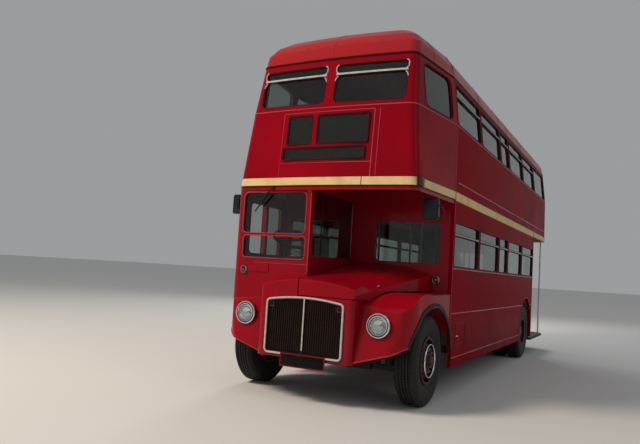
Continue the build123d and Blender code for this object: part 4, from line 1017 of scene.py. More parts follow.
display_frames, display_panes = [], []
for x0, x1, z0, z1 in display_places:
    middle = Vector(((x0 + x1) / 2, wall_front((x0 + x1) / 2, (z0 + z1) / 2), (z0 + z1) / 2))
    frame_ring = rounded_plane(x1 - x0 + 0.024, z1 - z0 + 0.024, 0.034)
    bpy.ops.mesh.inset(thickness=0.022)
    bpy.ops.mesh.delete(type="FACE")
    done()
    apply(frame_ring, "SOLIDIFY", thickness=0.022, offset=-1.0)
    apply(frame_ring, "BEVEL", width=0.004, segments=2, limit_method="ANGLE")
    display_frames.append(leant(frame_ring, middle + Vector((0, -0.005, 0))))
    display_pane_glass = rounded_plane(x1 - x0 - 0.002, z1 - z0 - 0.002, 0.024)
    done()
    apply(display_pane_glass, "SOLIDIFY", thickness=0.004, offset=-1.0)
    display_panes.append(leant(display_pane_glass, middle + Vector((0, 0.008, 0))))
# The frames are in the near black bead red: painted shade round the glasses.
finished(display_frames, "display_frames", "bus", shade_dark_bead_enamel, 50)
finished(display_panes, "display_glasses", "bus", window_pane)

rear_display_rim = rounded(open_edges(upper_skin, lambda m: display_pane(m) and m.y > 0), 0.007)
finished(rear_display_rim, "rear_display_bead", "bus", highlit_bead_enamel)

# %% [markdown]
# A narrow lip hangs below the cream band all round the front, over the cab and across the canopy.
# It is the lowest strip of the front panels, copied, lowered and drawn in a little.

# %% Canopy lip
LIP_DROP = 0.045
before_bulkhead = [((0, bulkhead_y - 0.02, 0), (0, -1, 0))]
canopy_lip = strip(upper_skin, level(BAND_LOW + 0.001 + LIP_DROP / 2, LIP_DROP) + before_bulkhead, 0.010)
canopy_lip.scale = (0.988, 1, 1)
canopy_lip.location = (0, 0.014, -LIP_DROP - 0.002)
work_on(canopy_lip)
settle()
finished(canopy_lip, "canopy_lip", "bus", plain_enamel)
joint_x = 0.505
joint_ends = [(joint_x, wall_front(joint_x, z) - 0.001, z) for z in (BAND_LOW + 0.004, BAND_HIGH - 0.004)]
finished(tube(joint_ends, 0.0035), "band_joint", "bus", shade_dark_bead_enamel)

# %% Bright rails of the opening lights
def light_end(middle):
    """On an upright end of an upper front light."""
    from_end = min(abs(abs(middle.x) - end) for end in (0.058, 0.930))
    return front_pane(middle) and middle.z > FRONT_RAIL - 0.09 and from_end < 0.03


front_lights = rounded(open_edges(upper_skin, light_end), 0.0065)
rail_spans = ((-0.925, -0.062), (0.062, 0.925))
rails = [front_lights]
for low, high in rail_spans:
    rails.append(strip(upper_skin, level(FRONT_RAIL, 0.022) + between("x", low, high) + ahead, 0.006))
finished(rails, "upper_front_bright_lights", "bus", oxide_rail)

bay_edges = (-3.092, -1.873, -1.777, -0.558, -0.462, 0.152, 0.248, 1.467, 1.563, 2.782)
rails = []
for low, high in zip(bay_edges[::2], bay_edges[1::2]):
    for skin, z in ((upper_skin, UPPER_RAIL), (lower_skin, LOWER_RAIL)):
        rails.append(strip(skin, level(z, 0.018) + between("y", low, high), 0.005))
finished(rails, "side_light_rails", "bus", aluminium)


# %% Pans inside the openings
def inside_pane(face):
    """True for the cut edge of a side window, inside the wall's thickness."""
    return abs(face.normal.x) < 0.05 and flank_pane(face.center)


def pans(names, test, thickness):
    made = copied(*names)
    keep_only(made, test)
    apply(made, "SOLIDIFY", thickness=thickness, offset=1.0)
    return made


side_names = ("upper_side_near", "upper_side_off", "lower_side_near", "lower_side_off")
finished(pans(side_names, inside_pane, 0.004), "side_window_pans", "bus", pan_paint)

# %% [markdown]
# Lamps, tyres and hubs are all turned shapes. One helper draws half of the section as a line of
# points, each a distance along the axis and a radius, and spins it round.

# %% A helper for turned pieces
def turned(section, middle, axis="y", steps=48):
    """Spin a line of (distance along the axis, radius) points about an axis through middle."""
    middle = Vector(middle)
    aside = AXES["x"] if axis == "z" else AXES["z"]
    points = [middle + AXES[axis] * out + aside * radius for out, radius in section]
    deselect()
    bpy.ops.mesh.primitive_plane_add(size=0.01, location=points[0])
    obj = bpy.context.active_object
    settle()
    bpy.ops.object.mode_set(mode="EDIT")
    bpy.ops.mesh.select_mode(type="VERT")
    bpy.ops.mesh.select_all(action="SELECT")
    bpy.ops.mesh.merge(type="CENTER")
    for start, end in zip(points[:-1], points[1:]):
        bpy.ops.mesh.extrude_vertices_move(TRANSFORM_OT_translate={"value": end - start})
    bpy.ops.mesh.select_all(action="SELECT")
    bpy.ops.mesh.spin(steps=steps, angle=2 * math.pi, center=middle, axis=AXES[axis])
    bpy.ops.mesh.select_all(action="SELECT")
    bpy.ops.mesh.remove_doubles(threshold=0.00002)
    bpy.ops.mesh.normals_make_consistent(inside=False)
    done()
    return obj


# %% [markdown]
# A headlamp is a painted shroud that stands out of the wing, a stepped chrome rim whose groove holds a
# black ring as a painted dark reflection, a silvered reflector with its bulb shield, and a domed glass with
# upright flutes.

# %% Headlamps
LAMP_X, LAMP_Z = 0.829, 0.902
lamp_back_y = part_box("front_wings")[0].y + 0.055
shroud_section = (
    (0.075, 0.112), (0.075, 0.117), (0.012, 0.1175), (0.002, 0.124), (-0.002, 0.124), (-0.002, 0.112),
)
rim_section = (
    (0.004, 0.112), (0.0, 0.128), (-0.006, 0.1335), (-0.013, 0.134), (-0.020, 0.130), (-0.0245, 0.1235),
    (-0.023, 0.1175), (-0.014, 0.1145), (-0.012, 0.111), (-0.014, 0.1075), (-0.023, 0.106),
    (-0.027, 0.1015), (-0.026, 0.0965), (-0.018, 0.0945), (0.004, 0.0945), (0.004, 0.112),
)
reflector_section = (
    (0.002, 0.0945), (0.020, 0.088), (0.040, 0.072), (0.055, 0.050), (0.062, 0.025), (0.064, 0.0),
)
glass_section = (
    (-0.018, 0.0943), (-0.026, 0.088), (-0.034, 0.070), (-0.039, 0.045), (-0.0415, 0.020), (-0.042, 0.0),
    (-0.038, 0.0), (-0.035, 0.045), (-0.030, 0.068), (-0.022, 0.085), (-0.014, 0.0925), (-0.018, 0.0943),
)
bulb_section = ((0.058, 0.0), (0.055, 0.012), (0.030, 0.014), (0.016, 0.011), (0.010, 0.0))
lamp_parts = {"shroud": [], "rim": [], "reflector": [], "glass": [], "bulb": []}
for x in (-LAMP_X, LAMP_X):
    middle = (x, lamp_back_y, LAMP_Z)
    lamp_parts["shroud"].append(turned(shroud_section + shroud_section[:1], middle))
    lamp_parts["rim"].append(turned(rim_section, middle, steps=64))
    lamp_parts["reflector"].append(turned(reflector_section, middle))
    lamp_parts["glass"].append(turned(glass_section, middle, steps=64))
    lamp_parts["bulb"].append(turned(bulb_section, middle, steps=20))
reflectors = joined(lamp_parts["reflector"])
apply(reflectors, "SOLIDIFY", thickness=0.0015, offset=1.0)
headlamp_shrouds = finished(lamp_parts["shroud"], "headlamp_shrouds", "bus", plain_enamel)
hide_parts("lamps")
finished(lamp_parts["rim"], "headlamp_rims", "bus", chrome, 50)
finished(reflectors, "headlamp_reflectors", "bus", silvered, 60)
finished(lamp_parts["glass"], "headlamp_glasses", "bus", lens_clear, 60)
finished(lamp_parts["bulb"], "headlamp_bulbs", "bus", chrome, 60)
# A black ring laid in each rim's groove: a painted dark reflection that gives the chrome its contrast.
groove_shade_rings = [
    ring((x, lamp_back_y - 0.0155, LAMP_Z), 0.1115, 0.0075, axis="y", squeeze=0.6)
    for x in (-LAMP_X, LAMP_X)
]
finished(groove_shade_rings, "headlamp_groove_shade_rings", "bus", black_rubber, 60)

# %% [markdown]
# The side lamps are small torpedoes: a chrome cup and rim round a domed glass. The tail lamps are
# two red glasses and an amber one on a black plate, and a small lamp sits over the rear panel.
# Another amber lamp stands on a dark foot at the near front corner of the upper deck.

# %% Side lamps
cup_section = (
    (0.0, 0.0), (0.0, 0.048), (-0.006, 0.0495), (-0.022, 0.047), (-0.030, 0.0435), (-0.0345, 0.039),
    (-0.033, 0.035), (-0.024, 0.033), (-0.016, 0.032), (-0.014, 0.0),
)
side_glass_section = (
    (-0.024, 0.0328), (-0.036, 0.028), (-0.042, 0.018), (-0.045, 0.0),
    (-0.041, 0.0), (-0.038, 0.017), (-0.033, 0.026), (-0.022, 0.030), (-0.024, 0.0328),
)
side_lamp_places = ((1.030, bulkhead_y, 1.407), (-0.965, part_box("cab_front")[0].y + 0.017, 1.400))
cups = [turned(cup_section, place, steps=40) for place in side_lamp_places]
finished(cups, "side_lamp_cups", "bus", aluminium, 50)
# A black disc inside each cup, behind its glass: painted shade that darkens the lamp's inside.
shade_discs = [disc((x, y - 0.017, z), 0.0325, 0.004, axis="y", sides=40) for x, y, z in side_lamp_places]
bulbs = [
    disc((x, y - 0.026, z), 0.007, 0.014, axis="y", sides=16, bevel=0.003)
    for x, y, z in side_lamp_places
]
finished(shade_discs, "side_lamp_shade_discs", "bus", black_rubber)
finished(bulbs, "side_lamp_bulbs", "bus", chrome, 60)
glasses = [turned(side_glass_section, place, steps=40) for place in side_lamp_places]
finished(glasses, "side_lamp_glasses", "bus", lens_clear, 60)

# %% Tail lamps
tail_plate = block((-0.960, tail_y - 0.026, 0.760), (-0.870, tail_y - 0.006, 0.980), 0.006)
upper_lamp = block((0.880, tail_y - 0.024, 2.560), (0.930, tail_y - 0.004, 2.640), 0.005)
finished([tail_plate, upper_lamp], "tail_lamp_plates", "bus", gloss_black)
lens_section = (
    (0.0, 0.0), (0.0, 0.034), (0.005, 0.034), (0.009, 0.029), (0.012, 0.018), (0.013, 0.0),
)
tail_reds = [turned(lens_section, (-0.915, tail_y - 0.008, z), steps=32) for z in (0.815, 0.870)]
finished(tail_reds, "tail_lamp_red_glasses", "bus", lens_red, 60)
tail_amber = turned(lens_section, (-0.915, tail_y - 0.008, 0.935), steps=32)
corner_amber = block((1.146, bulkhead_y - 1.158, 2.398), (1.178, bulkhead_y - 1.052, 2.490), 0.008)
corner_foot = block((1.126, bulkhead_y - 1.160, 2.396), (1.148, bulkhead_y - 1.050, 2.492), 0.003)
finished(corner_foot, "corner_lamp_foot", "bus", shade_dark_bead_enamel)
finished([corner_amber, tail_amber], "amber_lamp_glasses", "bus", lens_amber, 50)

# %% [markdown]
# An ear-shaped flasher stands out from the cab's corner on a black foot.

# %% Ear flasher
ear_place = (-1.150, bulkhead_y - 1.100, 2.140)
ear_section = (
    (0.0, 0.0), (0.0, 0.030), (-0.020, 0.032), (-0.034, 0.040), (-0.046, 0.036), (-0.058, 0.024),
    (-0.064, 0.0),
)
ear = turned(ear_section, ear_place, axis="x", steps=32)
pick(ear, lambda face: face.center.x < ear_place[0] - 0.032)
bpy.ops.mesh.separate(type="SELECTED")
done()
ear_lens = [obj for obj in bpy.context.selected_objects if obj != ear][0]
finished(ear, "ear_flasher_foot", "bus", gloss_black, 50)
finished(ear_lens, "ear_flasher_lens", "bus", lens_amber, 60)

# %% [markdown]
# The grille's frame carries a rounded bright moulding along its outer edge. Behind it stand
# upright slats and, over a hand's breadth further back, the finned core of the radiator.

# %% Grille moulding, strip and slats
GRILLE_HALF, GRILLE_LOW, GRILLE_SHOULDER, GRILLE_CROWN, GRILLE_CORNER = 0.479, 0.498, 1.095, 1.140, 0.050


def grille_top(x, inset=0.0):
    """Height of the grille's crowned top."""
    fall = GRILLE_CROWN - GRILLE_SHOULDER
    return GRILLE_CROWN - inset - fall * (x / GRILLE_HALF) ** 2


def grille_line(inset, y):
    """Points round the grille, its corners rounded in six steps."""
    half, corner = GRILLE_HALF - inset, GRILLE_CORNER - inset
    right_side = []
    for turn in range(0, 91, 15):
        angle = math.radians(turn)
        x = half - corner + corner * math.sin(angle)
        shoulder = grille_top(x - corner * math.sin(angle), inset)
        right_side.append((x, shoulder - corner + corner * math.cos(angle)))
    for turn in range(0, 91, 15):
        angle = math.radians(turn)
        x = half - corner + corner * math.cos(angle)
        right_side.append((x, GRILLE_LOW + inset + corner - corner * math.sin(angle)))
    top = [(x / 10 * (half - corner), grille_top(x / 10 * (half - corner), inset)) for x in range(10)]
    right_side = top + right_side
    loop = right_side + [(-x, z) for x, z in reversed(right_side)]
    return [(x, y, z) for x, z in loop] + [(loop[0][0], y, loop[0][1])]


PLATE_DEPTH = 0.013
grille_y = nose_y + PLATE_DEPTH
grille_frame = copied("radiator_grille")
grille_frame.location = (0, PLATE_DEPTH, 0)
grille_frame = finished(grille_frame, "set_back_grille", "bus", grille_finish)
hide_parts("radiator_grille")
moulding = tube(grille_line(0.009, grille_y + 0.003), 0.0115)
centre_strip = block((-0.008, grille_y - 0.002, 0.560), (0.008, grille_y + 0.012, 1.124), 0.004)
finished([moulding, centre_strip], "grille_moulding", "bus", oxide_rail, 60)

slat_y = grille_y + 0.024
slats = []
for number in range(1, 51):
    for side in (-1, 1):
        x = side * number * 0.009
        slats.append(block((x - 0.0012, slat_y, 0.515), (x + 0.0012, slat_y + 0.010, grille_top(x) - 0.018)))
for number in range(9):
    z = 0.560 + number * 0.062
    slats.append(block((-0.462, slat_y + 0.003, z - 0.0015), (0.462, slat_y + 0.007, z + 0.0015)))
finished(slats, "grille_slats", "bus", grille_finish)

# %% Red squares in the grille's upper corners
squares = []
for x in (-0.420, 0.420):
    low, high = (x - 0.023, 1.012), (x + 0.023, 1.058)
    squares.append(outlined(low, high, lambda a, b: (a, slat_y - 0.004, b), 0.0042))
finished(squares, "grille_red_squares", "bus", highlit_bead_enamel)

# %% Radiator core
core_y = nose_y + 0.262
core = block((-0.455, core_y, 0.600), (0.455, core_y + 0.060, 1.060), 0.002)
tanks = [
    block((-0.465, core_y - 0.006, 0.560), (0.465, core_y + 0.066, 0.602), 0.010),
    block((-0.465, core_y - 0.006, 1.058), (0.465, core_y + 0.066, 1.110), 0.014),
]
fins = [
    block((-0.452, core_y - 0.004, 0.612 + 0.011 * n), (0.452, core_y, 0.614 + 0.011 * n))
    for n in range(40)
]
finished([core] + tanks + fins, "radiator_core", "bus", chassis)

# %% [markdown]
# The plates stay blank: black enamel in a red frame at the front and a black one at the rear.

# %% Plates
def plate(low, high, outward, rim):
    """A shallow tray: the front face is inset by its rim and pushed in."""
    made = block(low, high)
    pick(made, lambda face: face.normal.y * outward > 0.5)
    bpy.ops.mesh.inset(thickness=rim)
    bpy.ops.mesh.extrude_region_move(TRANSFORM_OT_translate={"value": (0, -outward * 0.004, 0)})
    done()
    apply(made, "BEVEL", width=0.002, segments=2, limit_method="ANGLE")
    return made


front_low, front_high = (-0.256, nose_y, 0.374), (0.297, nose_y + 0.011, 0.519)
PLATE_RIM = 0.011
front_frame = plate(front_low, front_high, -1, PLATE_RIM)
brackets = [
    block((x - 0.015, nose_y + 0.009, 0.470), (x + 0.015, nose_y + 0.045, 0.510), 0.002)
    for x in (-0.15, 0.19)
]
finished([front_frame] + brackets, "front_plate_frame", "bus", plain_enamel)
face_low = [front_low[0] + PLATE_RIM, nose_y + 0.0025, front_low[2] + PLATE_RIM]
face_high = [front_high[0] - PLATE_RIM, nose_y + 0.005, front_high[2] - PLATE_RIM]
front_face = block(face_low, face_high, 0.001)
rear_y = tail_y - 0.025
rear_face = block((-0.830, rear_y - 0.002, 1.080), (-0.310, rear_y + 0.012, 1.200), 0.003)
finished([front_face, rear_face], "number_plates_blank", "bus", plate_black)

# %% [markdown]
# A flexible rubber lip closes the gap between each front arch and its tyre. Its outer edge is the
# arch's own open edge in the skin, so that edge is taken, extruded and scaled towards the axle. A
# glossy black bead runs along its inner edge, and a rolled edge along the wing's foot.

# %% Arch lips
ARCH, LIP, REAR_ARCH = 0.645, 0.600, 0.655


def on_arch(middle):
    radius = math.hypot(middle.y - front_axle.y, middle.z - front_axle.z)
    return abs(radius - ARCH) < 0.004 and middle.z > 0.60 and abs(middle.x) > 1.05


lips, lip_beads = [], []
for side in (-1, 1):
    axle = (side * front_axle.x, front_axle.y, front_axle.z)
    edges = [open_edges(skin, lambda m: on_arch(m) and m.x * side > 0) for skin in (wing_skin, lower_skin)]
    lip = joined(edges)
    bead = twin(lip)
    for obj in (lip, bead):
        pick(obj, lambda edge: True, "EDGE")
        if obj == lip:
            bpy.ops.mesh.extrude_edges_move()
        bpy.ops.transform.resize(value=(1, LIP / ARCH, LIP / ARCH), center_override=axle)
        done()
    apply(lip, "SOLIDIFY", thickness=0.009, offset=-1.0 if side > 0 else 1.0)
    lips.append(lip)
    lip_beads.append(rounded(bead, 0.007, (side * 0.004, 0, 0)))
finished(lips, "front_arch_rubbers", "bus", black_rubber)
finished(lip_beads, "front_arch_beads", "bus", gloss_black, 60)


# %% Rolled edges of wings and arches
def on_wing_foot(middle):
    x = abs(middle.x)
    foot = 0.495 + (x - 0.590) * 0.115 / 0.390 if x < 0.98 else 0.610 + (x - 0.98) * 0.130 / 0.239
    return abs(middle.z - foot) < 0.008 and middle.y < front_axle.y - 0.5


def on_rear_arch(middle):
    radius = math.hypot(middle.y - rear_axle.y, middle.z - rear_axle.z)
    return abs(radius - REAR_ARCH) < 0.004 and middle.z > 0.38


# The rolled edges take the lighter bead red: a painted highlight along each edge.
rolled = [
    rounded(open_edges(wing_skin, on_wing_foot), 0.007),
    rounded(open_edges(lower_skin, on_rear_arch), 0.006),
    rounded(open_edges(lower_skin, on_arch), 0.005),
]
finished(rolled, "rolled_edges", "bus", highlit_bead_enamel)

# %% [markdown]
# A bus tyre has five ribs cut into blocks. The carcass is turned with its four grooves, and the
# outer face of every rib is inset block by block and raised, which leaves the cross cuts between.

# %% Tyres
tyre_sides = ((-0.098, 0.2505), (-0.099, 0.274), (-0.108, 0.290), (-0.111, 0.302), (-0.109, 0.306),
              (-0.122, 0.340), (-0.1305, 0.385), (-0.1295, 0.415), (-0.124, 0.447), (-0.125, 0.452),
              (-0.116, 0.476), (-0.102, 0.492))
RIB_TOP, GROOVE = 0.500, 0.4925
rib_ends = (-0.092, -0.058, -0.050, -0.021, -0.013, 0.013, 0.021, 0.050, 0.058, 0.092)
crown_points = []
for low, high in zip(rib_ends[::2], rib_ends[1::2]):
    if crown_points:
        crown_points.append((low - 0.0012, GROOVE))
    crown_points += [(low, RIB_TOP), (high, RIB_TOP)]
    if high < 0.09:
        crown_points.append((high + 0.0012, GROOVE))
far_side = tuple((-out, radius) for out, radius in reversed(tyre_sides))
tyre_section = tyre_sides + tuple(crown_points) + far_side


def tyre(middle):
    made = turned(tyre_section + tyre_section[:1], middle, axis="x", steps=90)
    centre = Vector(middle)

    def rib_face(face):
        away = face.center - centre
        radius = math.hypot(away.y, away.z)
        return radius > RIB_TOP - 0.0025 and abs(face.normal.x) < 0.3 and abs(away.x) < 0.093

    pick(made, rib_face)
    bpy.ops.mesh.inset(thickness=0.0022, depth=0.0048, use_individual=True)
    done()
    return made


wheel_bodies = (
    ("front_tyre_near", "front_wheel_near", (FRONT_WHEEL_X,), front_axle.y),
    ("front_tyre_off", "front_wheel_off", (-FRONT_WHEEL_X,), front_axle.y),
    ("rear_tyres_near", "rear_wheels_near", (REAR_OUTER_X, REAR_INNER_X), rear_axle.y),
    ("rear_tyres_off", "rear_wheels_off", (-REAR_OUTER_X, -REAR_INNER_X), rear_axle.y),
)
pattern_tyre = tyre((0, 0, 0))
for cad_name, body, places, axle_y in wheel_bodies:
    treads = [twin(pattern_tyre, (x, axle_y, front_axle.z)) for x in places]
    made = finished(treads, "treaded_" + cad_name, body, rubber, 28)
    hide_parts(cad_name)
bpy.data.objects.remove(pattern_tyre)

# %% [markdown]
# Ten nuts on studs hold each wheel. In front a bright ring stands proud of them on four short
# legs, and each hub ends in a capped boss. The rear hubs have a ring of bolts as well.

# %% Wheel nuts, guards and hub caps
GUARD_RADIUS, FRONT_NUTS, REAR_NUTS, REAR_BOLTS = 0.182, 0.128, 0.172, 0.078


def hexagon_nut(middle, side):
    body = disc(middle, 0.019, 0.022, axis="x", sides=6, bevel=0.002)
    stud_end = (middle[0] + side * 0.013, middle[1], middle[2])
    return [body, disc(stud_end, 0.008, 0.020, axis="x", sides=12, bevel=0.0015)]


def around(middle, radius, count, start=0.0):
    for number in range(count):
        angle = start + 2 * math.pi * number / count
        yield (middle[0], middle[1] + radius * math.cos(angle), middle[2] + radius * math.sin(angle))


for side, name in ((1, "near"), (-1, "off")):
    face = (side * (FRONT_WHEEL_X + 0.096 + 0.011), front_axle.y, front_axle.z)
    nuts = sum((hexagon_nut(place, side) for place in around(face, FRONT_NUTS, 10)), [])
    finished(nuts, "front_wheel_nuts_" + name, "front_wheel_" + name, steel)
    ring_x = side * 1.158
    guard = [ring((ring_x, front_axle.y, front_axle.z), GUARD_RADIUS, 0.0095, axis="x", squeeze=1.3)]
    for place in around((0, front_axle.y, front_axle.z), GUARD_RADIUS, 4, math.pi / 4):
        foot = disc((side * 1.124, place[1], place[2]), 0.007, 0.066, axis="x", sides=12)
        guard.append(foot)
    cap_section = ((0.0, 0.0), (0.0, 0.062), (0.018, 0.060), (0.030, 0.050), (0.034, 0.030), (0.035, 0.0))
    cap_line = [(side * out, radius) for out, radius in cap_section]
    cap = turned(cap_line, (ring_x, front_axle.y, front_axle.z), "x", 32)
    finished(guard, "front_nut_guard_" + name, "front_wheel_" + name, chrome, 50)
    finished(cap, "front_hub_cap_" + name, "front_wheel_" + name, wheel_paint, 50)
    trim_place = (side * (FRONT_WHEEL_X + 0.110), front_axle.y, front_axle.z)
    trim = ring(trim_place, 0.259, 0.007, axis="x", squeeze=0.7)
    finished(trim, "front_rim_band_" + name, "front_wheel_" + name, wheel_paint, 50)

    face = (side * (REAR_OUTER_X - 0.145 + 0.034), rear_axle.y, rear_axle.z)
    nuts = sum((hexagon_nut(place, side) for place in around(face, REAR_NUTS, 10)), [])
    finished(nuts, "rear_wheel_nuts_" + name, "rear_wheels_" + name, steel)
    studs = [disc(place, 0.0085, 0.020, axis="x", sides=6, bevel=0.002)
             for place in around((side * 1.142, rear_axle.y, rear_axle.z), REAR_BOLTS, 8)]
    finished(studs, "rear_hub_bolts_" + name, "rear_wheels_" + name, steel)

# %% [markdown]
# The windscreen wiper hangs from a spindle above the glass. Each mirror has a rounded head with a
# rim round its glass, and an arm that carries it.

# %% Wiper
screen_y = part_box("cab_front")[0].y
spindle = Vector((-0.615, screen_y - 0.012, 2.380))
tip = Vector((-0.850, screen_y - 0.006, 2.095))
run = tip - spindle


def proud(point, out):
    """The point, moved towards the front."""
    return point + Vector((0, -out, 0))


arm = [proud(spindle, 0.016), proud(spindle + run * 0.30, 0.030), proud(spindle + run * 0.62, 0.024)]
clip = spindle + run * 0.60
wiper = [
    disc(spindle, 0.018, 0.044, axis="y", sides=16, bevel=0.003),
    tube(arm, 0.0075),
    tube([proud(spindle + run * 0.22, 0.010), proud(tip, 0.010)], 0.0085),
    block(clip + Vector((-0.010, -0.030, -0.012)), clip + Vector((0.010, -0.008, 0.012)), 0.003),
]
finished(wiper, "windscreen_wiper", "bus", gloss_black)

# %% Mirror glasses
mirror_shells, mirror_rims, mirror_faces = [], [], []
MIRROR_RIM = 0.012
mirror_low, mirror_high = 2.076, 2.318
near_y, off_y = bulkhead_y - 0.700, bulkhead_y - 1.020
for x, y, width in ((1.148, near_y, 0.178), (-1.245, off_y, 0.118)):
    face_y = y + 0.025
    shell_low, shell_high = (x - width / 2, y - 0.030, mirror_low), (x + width / 2, face_y, mirror_high)
    shell = round_block(shell_low, shell_high, "y", 0.026)
    pick(shell, lambda face: face.normal.y < -0.9)
    bpy.ops.mesh.inset(thickness=0.016)
    bpy.ops.mesh.extrude_region_move(TRANSFORM_OT_translate={"value": (0, -0.014, 0)})
    done()
    apply(shell, "BEVEL", width=0.007, segments=3, limit_method="ANGLE")
    mirror_shells.append(shell)
    x0, x1 = x - width / 2 + MIRROR_RIM, x + width / 2 - MIRROR_RIM
    z0, z1 = mirror_low + MIRROR_RIM, mirror_high - MIRROR_RIM
    mirror_faces.append(block((x0, face_y, z0), (x1, face_y + 0.003, z1), 0.001))
    mirror_rims.append(outlined((x0, z0), (x1, z1), lambda a, b: (a, face_y + 0.001, b), 0.004))
# each arm as distance across, height
near_arm = ((1.120, 2.300), (1.060, 2.330), (1.030, 2.366), (1.030, BAND_LOW))
bracket = ((1.234, 2.236), (1.272, 2.222), (1.290, 2.180), (1.290, 2.140), (1.272, 2.108), (1.234, 2.096))
off_arm = ((-1.235, 2.232), (-1.180, 2.232), (-1.132, 2.232))
for arm, y, radius in ((near_arm, near_y, 0.010), (bracket, near_y, 0.008), (off_arm, off_y, 0.009)):
    mirror_rims.append(tube([(x, y, z) for x, z in arm], radius))
finished(mirror_faces, "mirror_glasses", "bus", silvered)
mirror_parts = mirror_shells + mirror_rims
mirror_body = finished(mirror_parts, "mirror_heads_and_arms", "bus", blue_black)
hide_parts("mirrors")

# %% [markdown]
# A bus seat has a sprung cushion and a squab on one bent panel. The cushion is a soft crowned
# form whose sides pull in between its corners, with a piped seam round its edge. One cushion and
# one squab are blown up as cloth, thinned, and copied to every seat. The long benches over the
# rear wheels and the driver's seat have cushions of their own.

# %% Padded forms
CUSHION_SWELL = 0.010


def plump(obj, voxel, cap):
    """Blow a closed block up a little as cloth, and cap how far each point moves."""
    apply(obj, "REMESH", mode="VOXEL", voxel_size=voxel)
    mesh = obj.data
    rest = [vertex.co.copy() for vertex in mesh.vertices]
    work_on(obj)
    bpy.ops.object.modifier_add(type="CLOTH")
    cloth = obj.modifiers[-1]
    cloth.settings.use_pressure = True
    cloth.settings.uniform_pressure_force = 4.0
    cloth.settings.effector_weights.gravity = 0.0
    for step in range(1, 21):
        bpy.context.scene.frame_set(step)
    bpy.ops.object.modifier_apply(modifier=cloth.name)
    bpy.context.scene.frame_set(1)
    for vertex, start in zip(obj.data.vertices, rest):
        move = vertex.co - start
        if move.length > cap:
            vertex.co = start + move.normalized() * cap
    return obj


def cushion(low, high, voxel=0.012):
    """A plump block that starts a little smaller than the space it fills."""
    shrink = Vector((0.006, 0.006, 0.006))
    made = block(Vector(low) + shrink, Vector(high) - Vector((0.006, 0.006, 0.016)), 0.022)
    plump(made, voxel, CUSHION_SWELL)
    top = high[2]
    middle = (Vector(low) + Vector(high)) / 2
    half = (Vector(high) - Vector(low)) / 2
    for vertex in made.data.vertices:
        # the crown of the top, which dies away towards the edges
        across = 1 - min(1, abs(vertex.co.x - middle.x) / half.x) ** 3
        along = 1 - min(1, abs(vertex.co.y - middle.y) / half.y) ** 3
        if vertex.co.z > middle.z:
            vertex.co.z = min(top, vertex.co.z + 0.009 * across * along)
        vertex.co.z = max(low[2], vertex.co.z)
    apply(made, "DECIMATE", ratio=0.35)
    return made


SEAT_X, SEAT_WIDTH, ROW_PITCH = 0.355, 0.790, 0.710
LEAN = math.atan2(0.090, 0.540)
decks = (
    (0.670, bulkhead_y + 0.305, 6, 6),
    (2.535, bulkhead_y - 0.060, 10, 8),
)
seat_places = []
for floor_z, first_y, near_rows, off_rows in decks:
    for seat_x, rows in ((SEAT_X, near_rows), (-SEAT_X - SEAT_WIDTH, off_rows)):
        seat_places += [Vector((seat_x, first_y + row * ROW_PITCH, floor_z)) for row in range(rows)]

seat_cushion = cushion((0.008, 0.004, 0.3603), (0.782, 0.372, 0.455))
seat_squab = cushion((0.008, -0.265, 0.0), (0.782, 0.265, 0.060))
seat_squab.rotation_euler = (math.pi / 2 - LEAN, 0, 0)
seat_squab.location = (0, 0.4435, 0.622)
work_on(seat_squab)
settle()
cushions = [twin(seat_cushion, place) for place in seat_places]
squabs = [twin(seat_squab, place) for place in seat_places]
BENCH_LOW, BENCH_HIGH = 1.485 + 0.006, 2.765 - 0.006
for side in (-1, 1):
    x0, x1 = sorted((side * 0.604, side * 1.083))
    cushions.append(cushion((x0, BENCH_LOW, 1.106), (x1, BENCH_HIGH, 1.200), 0.016))
    x0, x1 = sorted((side * 1.090, side * 1.150))
    squabs.append(cushion((x0, BENCH_LOW, 1.106), (x1, BENCH_HIGH, 1.485), 0.016))
driver_y = bulkhead_y - 0.500
cushions.append(cushion((-0.820, driver_y, 1.4255), (-0.380, driver_y + 0.330, 1.520)))
squabs.append(cushion((-0.820, driver_y + 0.340, 1.4255), (-0.380, driver_y + 0.410, 1.905)))
for obj in (seat_cushion, seat_squab):
    bpy.data.objects.remove(obj)
seat_cushions = finished(cushions, "seat_cushions", "bus", moquette, 180)
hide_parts("seat_pads")
seat_squabs = finished(squabs, "seat_squabs", "bus", moquette, 180)

# %% [markdown]
# Each seat has a bright grab rail along its top, and two handrails stand beside the doorway from
# the platform.

# %% Seat rails and handrails
rail_z, rail_y = 0.912, 0.529
master = tube(
    [(0.03, rail_y, 0.870), (0.03, rail_y, rail_z), (0.76, rail_y, rail_z), (0.76, rail_y, 0.870)], 0.011
)
seat_rails = [twin(master, place) for place in seat_places]
bpy.data.objects.remove(master)
finished(seat_rails, "seat_grab_rails", "bus", aluminium, 50)

handrail_line = ((0.018, 0.95), (0.060, 0.98), (0.060, 1.72), (0.018, 1.75))
handrails = [
    tube([(x, rear_bulkhead_y + out, z) for out, z in handrail_line], 0.014)
    for x in (0.335, -0.335)
]
finished(handrails, "platform_handrails", "bus", pole_enamel, 50)

# %% [markdown]
# The small handles and flaps: a lift handle on the bonnet's flank, the hatch behind the front
# wheel with its pull, and the panel under the windscreen.

# %% Handles and hatches
def pull_handle(x, y, z, length):
    """A bent rod that stands off a flank, its two ends in the panel."""
    near, far = y - length / 2, y + length / 2
    return tube([(x, near, z), (x + 0.014, near + 0.005, z), (x + 0.014, far - 0.005, z), (x, far, z)], 0.006)


